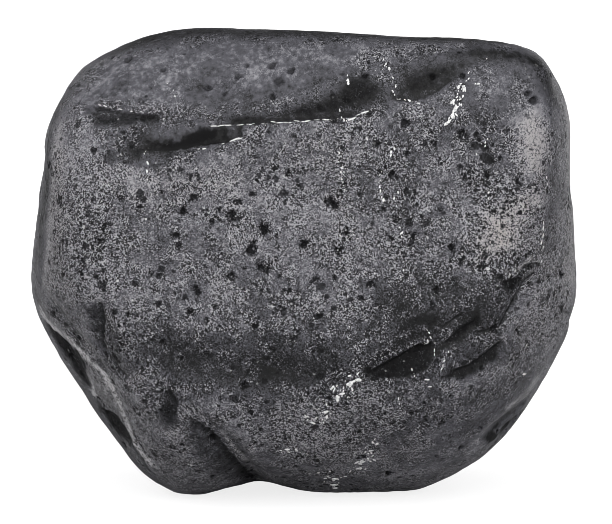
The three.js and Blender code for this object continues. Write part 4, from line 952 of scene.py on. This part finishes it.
def tumbled_shungite():
    """Black stone under a grey scuffed skin, with grain, mottling, pits and cracks, and painted
    shade, highlights and glints.
    """
    material = bpy.data.materials.new("tumbled shungite")
    finish = Finish(material)
    black_and_shade, crest_wear_and_highlight, dim_and_shade, pale_and_highlight = map(finish.painted, ("black_and_shade", "crest_wear_and_highlight", "dim_and_shade", "pale_and_highlight"))
    rubbed, coarse, pit, crease_shade_and_wear = map(finish.painted, ("rubbed", "coarse", "pit", "crease_shade_and_wear"))

    # patterns that are the same all over
    fine = finish.grains(FINE)
    grit = 0.85 * (fine - 0.5) + 0.15 * (finish.grains(GRIT) - 0.5)
    crumb = finish.clouds(CRUMB, 1.0, 0.6) - 0.5
    sand = finish.clouds(SAND, 2.0, 0.65) - 0.5
    patches = finish.clouds(PATCH, 3.0, 0.6) - 0.5
    zones = finish.clouds(ZONE) - 0.5

    # where the ground is grainy, specks crowd, the stone is bare and shade is painted, and it is
    # worn smooth
    grainy = 0.7 * finish.clouds(ROUGH_PATCH, 3.0, 0.6).above(0.4, 0.62) + 0.5 * coarse
    grainy = grainy.clamped()
    crowding = 0.35 + 1.4 * finish.clouds(CROWD, 1.0) + 0.12 * coarse
    bare_and_shade = black_and_shade + 0.7 * patches + sand + 0.6 * grit * (1 - 0.7 * rubbed)
    bare_and_shade = bare_and_shade.above(0.1, 1.05)
    smooth = (0.5 * bare_and_shade + 0.9 * rubbed).clamped()

    # black holes: pits with frayed edges, and specks
    frayed = (1.2 * sand + 2.2 * crumb + 0.8 * grit) * (1 - 0.8 * rubbed)
    pits = (pit + frayed).below(0.4, 1.5)
    large = finish.spots(LARGE_SPECK, 0.42, crowding)
    small = finish.spots(SMALL_SPECK, 0.5, crowding)
    tiny = finish.spots(TINY_SPECK, 0.7, crowding)
    specks = 0.7 * large + (0.9 * small + 0.8 * tiny) * (0.15 + 1.2 * grainy)
    holes = (0.85 * pits * (1 - 0.4 * rubbed) + specks * (1 - 0.85 * smooth)).clamped()

    # how grey the skin is: scuffed, lighter with painted highlights on the pale areas, and darker
    # with painted shade in the dim and bare areas and the creases
    mottling = 0.5 * finish.clouds(BLOTCH) + 0.6 * finish.clouds(MOTTLE, 1.0) - 0.55
    wear_and_painted_light = 0.455 + 0.6 * sand * (1 - 0.25 * rubbed) + 0.8 * patches + 0.55 * zones
    wear_and_painted_light = wear_and_painted_light + rubbed * mottling + 0.29 * pale_and_highlight - 0.26 * dim_and_shade - 0.4 * bare_and_shade - 0.8 * crease_shade_and_wear
    grain = grit * (1 + 3 * grainy) * (1 - 0.92 * smooth)
    greyness = ((wear_and_painted_light + grain) * (1 - 0.85 * holes)).clamped()

    # bright specks too small for pieces of their own, partly mineral and partly painted glints,
    # and worn crests with a painted highlight
    sparkle = (fine + 0.4 * sand).above(0.78, 0.98) * (0.02 + 0.35 * grainy)
    glints = finish.spots(GLINT, 0.16, crowding) * (0.2 + 0.5 * grainy) + sparkle
    glints = (glints * (1 - 0.9 * smooth)).clamped()
    highlighted_worn_crests = (1.3 * crest_wear_and_highlight * (1 + 3 * grit + 1.5 * sand)).clamped()

    # warmer scratches where a highlight's sheen is painted on the pale areas
    scratch_and_highlight = finish.blend((0.35 * pale_and_highlight).clamped(), PALE_SCRATCH_AND_HIGHLIGHT, WARM_SCRATCH_AND_HIGHLIGHT)
    colour = finish.blend((2 * greyness).clamped(), BARE_AND_SHADED_BLACK, SCUFFED_GREY)
    colour = finish.blend((2 * greyness - 1).clamped(), colour, scratch_and_highlight)
    colour = finish.blend(highlighted_worn_crests, colour, WORN_AND_HIGHLIGHTED_CREST)
    colour = finish.blend(glints, colour, BRIGHT_MINERAL_AND_GLINT)

    swells = (0.6 * sand + 0.6 * patches) * (1 - 0.6 * rubbed)
    height = 0.5 * grit * (1 - 0.9 * smooth) + swells - 0.8 * holes
    relief = finish.node(
        "ShaderNodeBump", {}, {"Strength": 0.6, "Distance": RELIEF * MM, "Height": height}
    )
    satin = finish.nodes["Principled BSDF"]
    finish.feed(
        satin,
        {
            "Base Color": colour,
            "Roughness": (0.42 + 0.14 * greyness - 0.06 * smooth).clamped(),
            "Normal": relief,
            "IOR": 1.5,
            "Specular IOR Level": 0.28,
        },
    )
    # a dull black with little gloss, for pits, bare stone and painted shade
    dull_black_and_shade = finish.node(
        "ShaderNodeBsdfPrincipled",
        {},
        {"Base Color": BARE_AND_SHADED_BLACK, "Roughness": 0.8, "Specular IOR Level": 0.15, "Normal": relief},
    )
    # the dull black covers the pits and specks, and the bare stone and painted shade
    dull_holes_and_shade = ((0.85 * holes + 0.8 * bare_and_shade.above(0.4, 1.0)) * (1 - glints)).clamped()
    finish.show(finish.mixed(dull_holes_and_shade, Amount(finish, satin.outputs[0]), dull_black_and_shade))
    return material


def bright_mineral_and_glints():
    """Pale glassy mineral, cloudy in places, that also stands in for painted glints and highlights
    along the lips.
    """
    material = bpy.data.materials.new("bright mineral and painted glints")
    finish = Finish(material)
    clear = finish.clouds(CLOUD).above(0.3, 0.6)
    finish.feed(
        finish.nodes["Principled BSDF"],
        {
            "Base Color": finish.blend(clear, CLOUDY_MINERAL, BRIGHT_MINERAL_AND_GLINT),
            "Roughness": 0.3,
            "Metallic": 0.2,
        },
    )
    return material


for piece, material in ((pebble, tumbled_shungite()), (grains, bright_mineral_and_glints())):
    piece.data.materials.clear()
    piece.data.materials.append(material)
    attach(piece, "root")
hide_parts("stone")

# ---- the floor

FLOOR_WIDTH = 2.4  # in metres
PAPER_GREY = (0.5, 0.5, 0.5, 1)

bpy.ops.object.select_all(action="DESELECT")
bpy.ops.mesh.primitive_plane_add(size=FLOOR_WIDTH, location=(0, 0, 0))
floor = bpy.context.active_object
floor.name = "floor"
white_paper = bpy.data.materials.new("white paper")
paper = Finish(white_paper)
shown = paper.nodes["Principled BSDF"]
paper.feed(
    shown,
    {
        "Base Color": PAPER_GREY,
        "Roughness": 0.9,
        "Specular IOR Level": 0.1,
        "Emission Color": (1, 1, 1, 1),
        "Emission Strength": 0.8,
    },
)
thrown = paper.node("ShaderNodeBsdfDiffuse", {}, {"Color": PAPER_GREY})  # on to the stone
seen = paper.node("ShaderNodeLightPath", output="Is Camera Ray")
paper.show(paper.mixed(seen, thrown, Amount(paper, shown.outputs[0])))
floor.data.materials.append(white_paper)

# ---- light


LAMP_DISTANCE = 0.42  # from the heart, in metres


def softbox(name, round_about, rise, size, power):
    """A soft lamp that faces the stone and is not seen itself: degrees round to the right
    of the front, degrees above the floor, width and height in metres, and watts."""
    lamp = bpy.data.lights.new(name, "AREA")
    lamp.shape = "RECTANGLE"
    lamp.size, lamp.size_y = size
    lamp.energy = power
    holder = bpy.data.objects.new(name, lamp)
    bpy.context.scene.collection.objects.link(holder)
    away = Vector(Side(round_about, rise).out)
    holder.location = Vector(HEART) * MM + away * LAMP_DISTANCE
    holder.rotation_euler = away.to_track_quat("Z", "Y").to_euler()
    holder.visible_camera = False


softbox("right softbox", 44, 8, (0.1, 0.22), 0.35)
softbox("left edge softbox", -112, 14, (0.1, 0.3), 0.03)
softbox("left rear softbox", -156, 8, (0.05, 0.3), 0.045)
softbox("right edge softbox", 152, 12, (0.06, 0.3), 0.12)

BRIGHT_WALL = Side(-8, 20)  # the studio's walls are brightest there
DIM, BRIGHT = 0.17, 1.54  # the walls furthest from it, and there

world = bpy.data.worlds.new("studio")
bpy.context.scene.world = world
studio = Finish(world)
towards_bright_wall = studio.node(
    "ShaderNodeVectorMath",
    {"operation": "DOT_PRODUCT"},
    {0: studio.node("ShaderNodeTexCoord", output="Generated"), 1: Vector(BRIGHT_WALL.out)},
    "Value",
)
walls = DIM + (BRIGHT - DIM) * towards_bright_wall.above(-0.35, 1.0)
sight = studio.node("ShaderNodeLightPath", output="Is Camera Ray")
studio.feed(
    studio.nodes["Background"],
    {"Color": (1, 1, 1, 1), "Strength": walls * (1 - sight) + sight},
)

# ---- the camera

CAMERA_DISTANCE = 300.0
SENSOR = 36.0
FIELD = 40.43  # width of the view at the stone's middle
AIM = HEART + np.array((0.13, 0, 0))
CRISPNESS = 0.9  # how far each point of the picture is spread, in its own widths

camera_data = bpy.data.cameras.new("camera")
camera_data.sensor_width = SENSOR
camera_data.lens = SENSOR * CAMERA_DISTANCE / FIELD
camera = bpy.data.objects.new("camera", camera_data)
bpy.context.scene.collection.objects.link(camera)
camera.location = Vector(AIM + FRONT.out * CAMERA_DISTANCE) * MM
camera.rotation_euler = Vector(FRONT.out).to_track_quat("Z", "Y").to_euler()
bpy.context.scene.camera = camera
bpy.context.scene.view_settings.view_transform = "Standard"
bpy.context.scene.cycles.filter_width = CRISPNESS
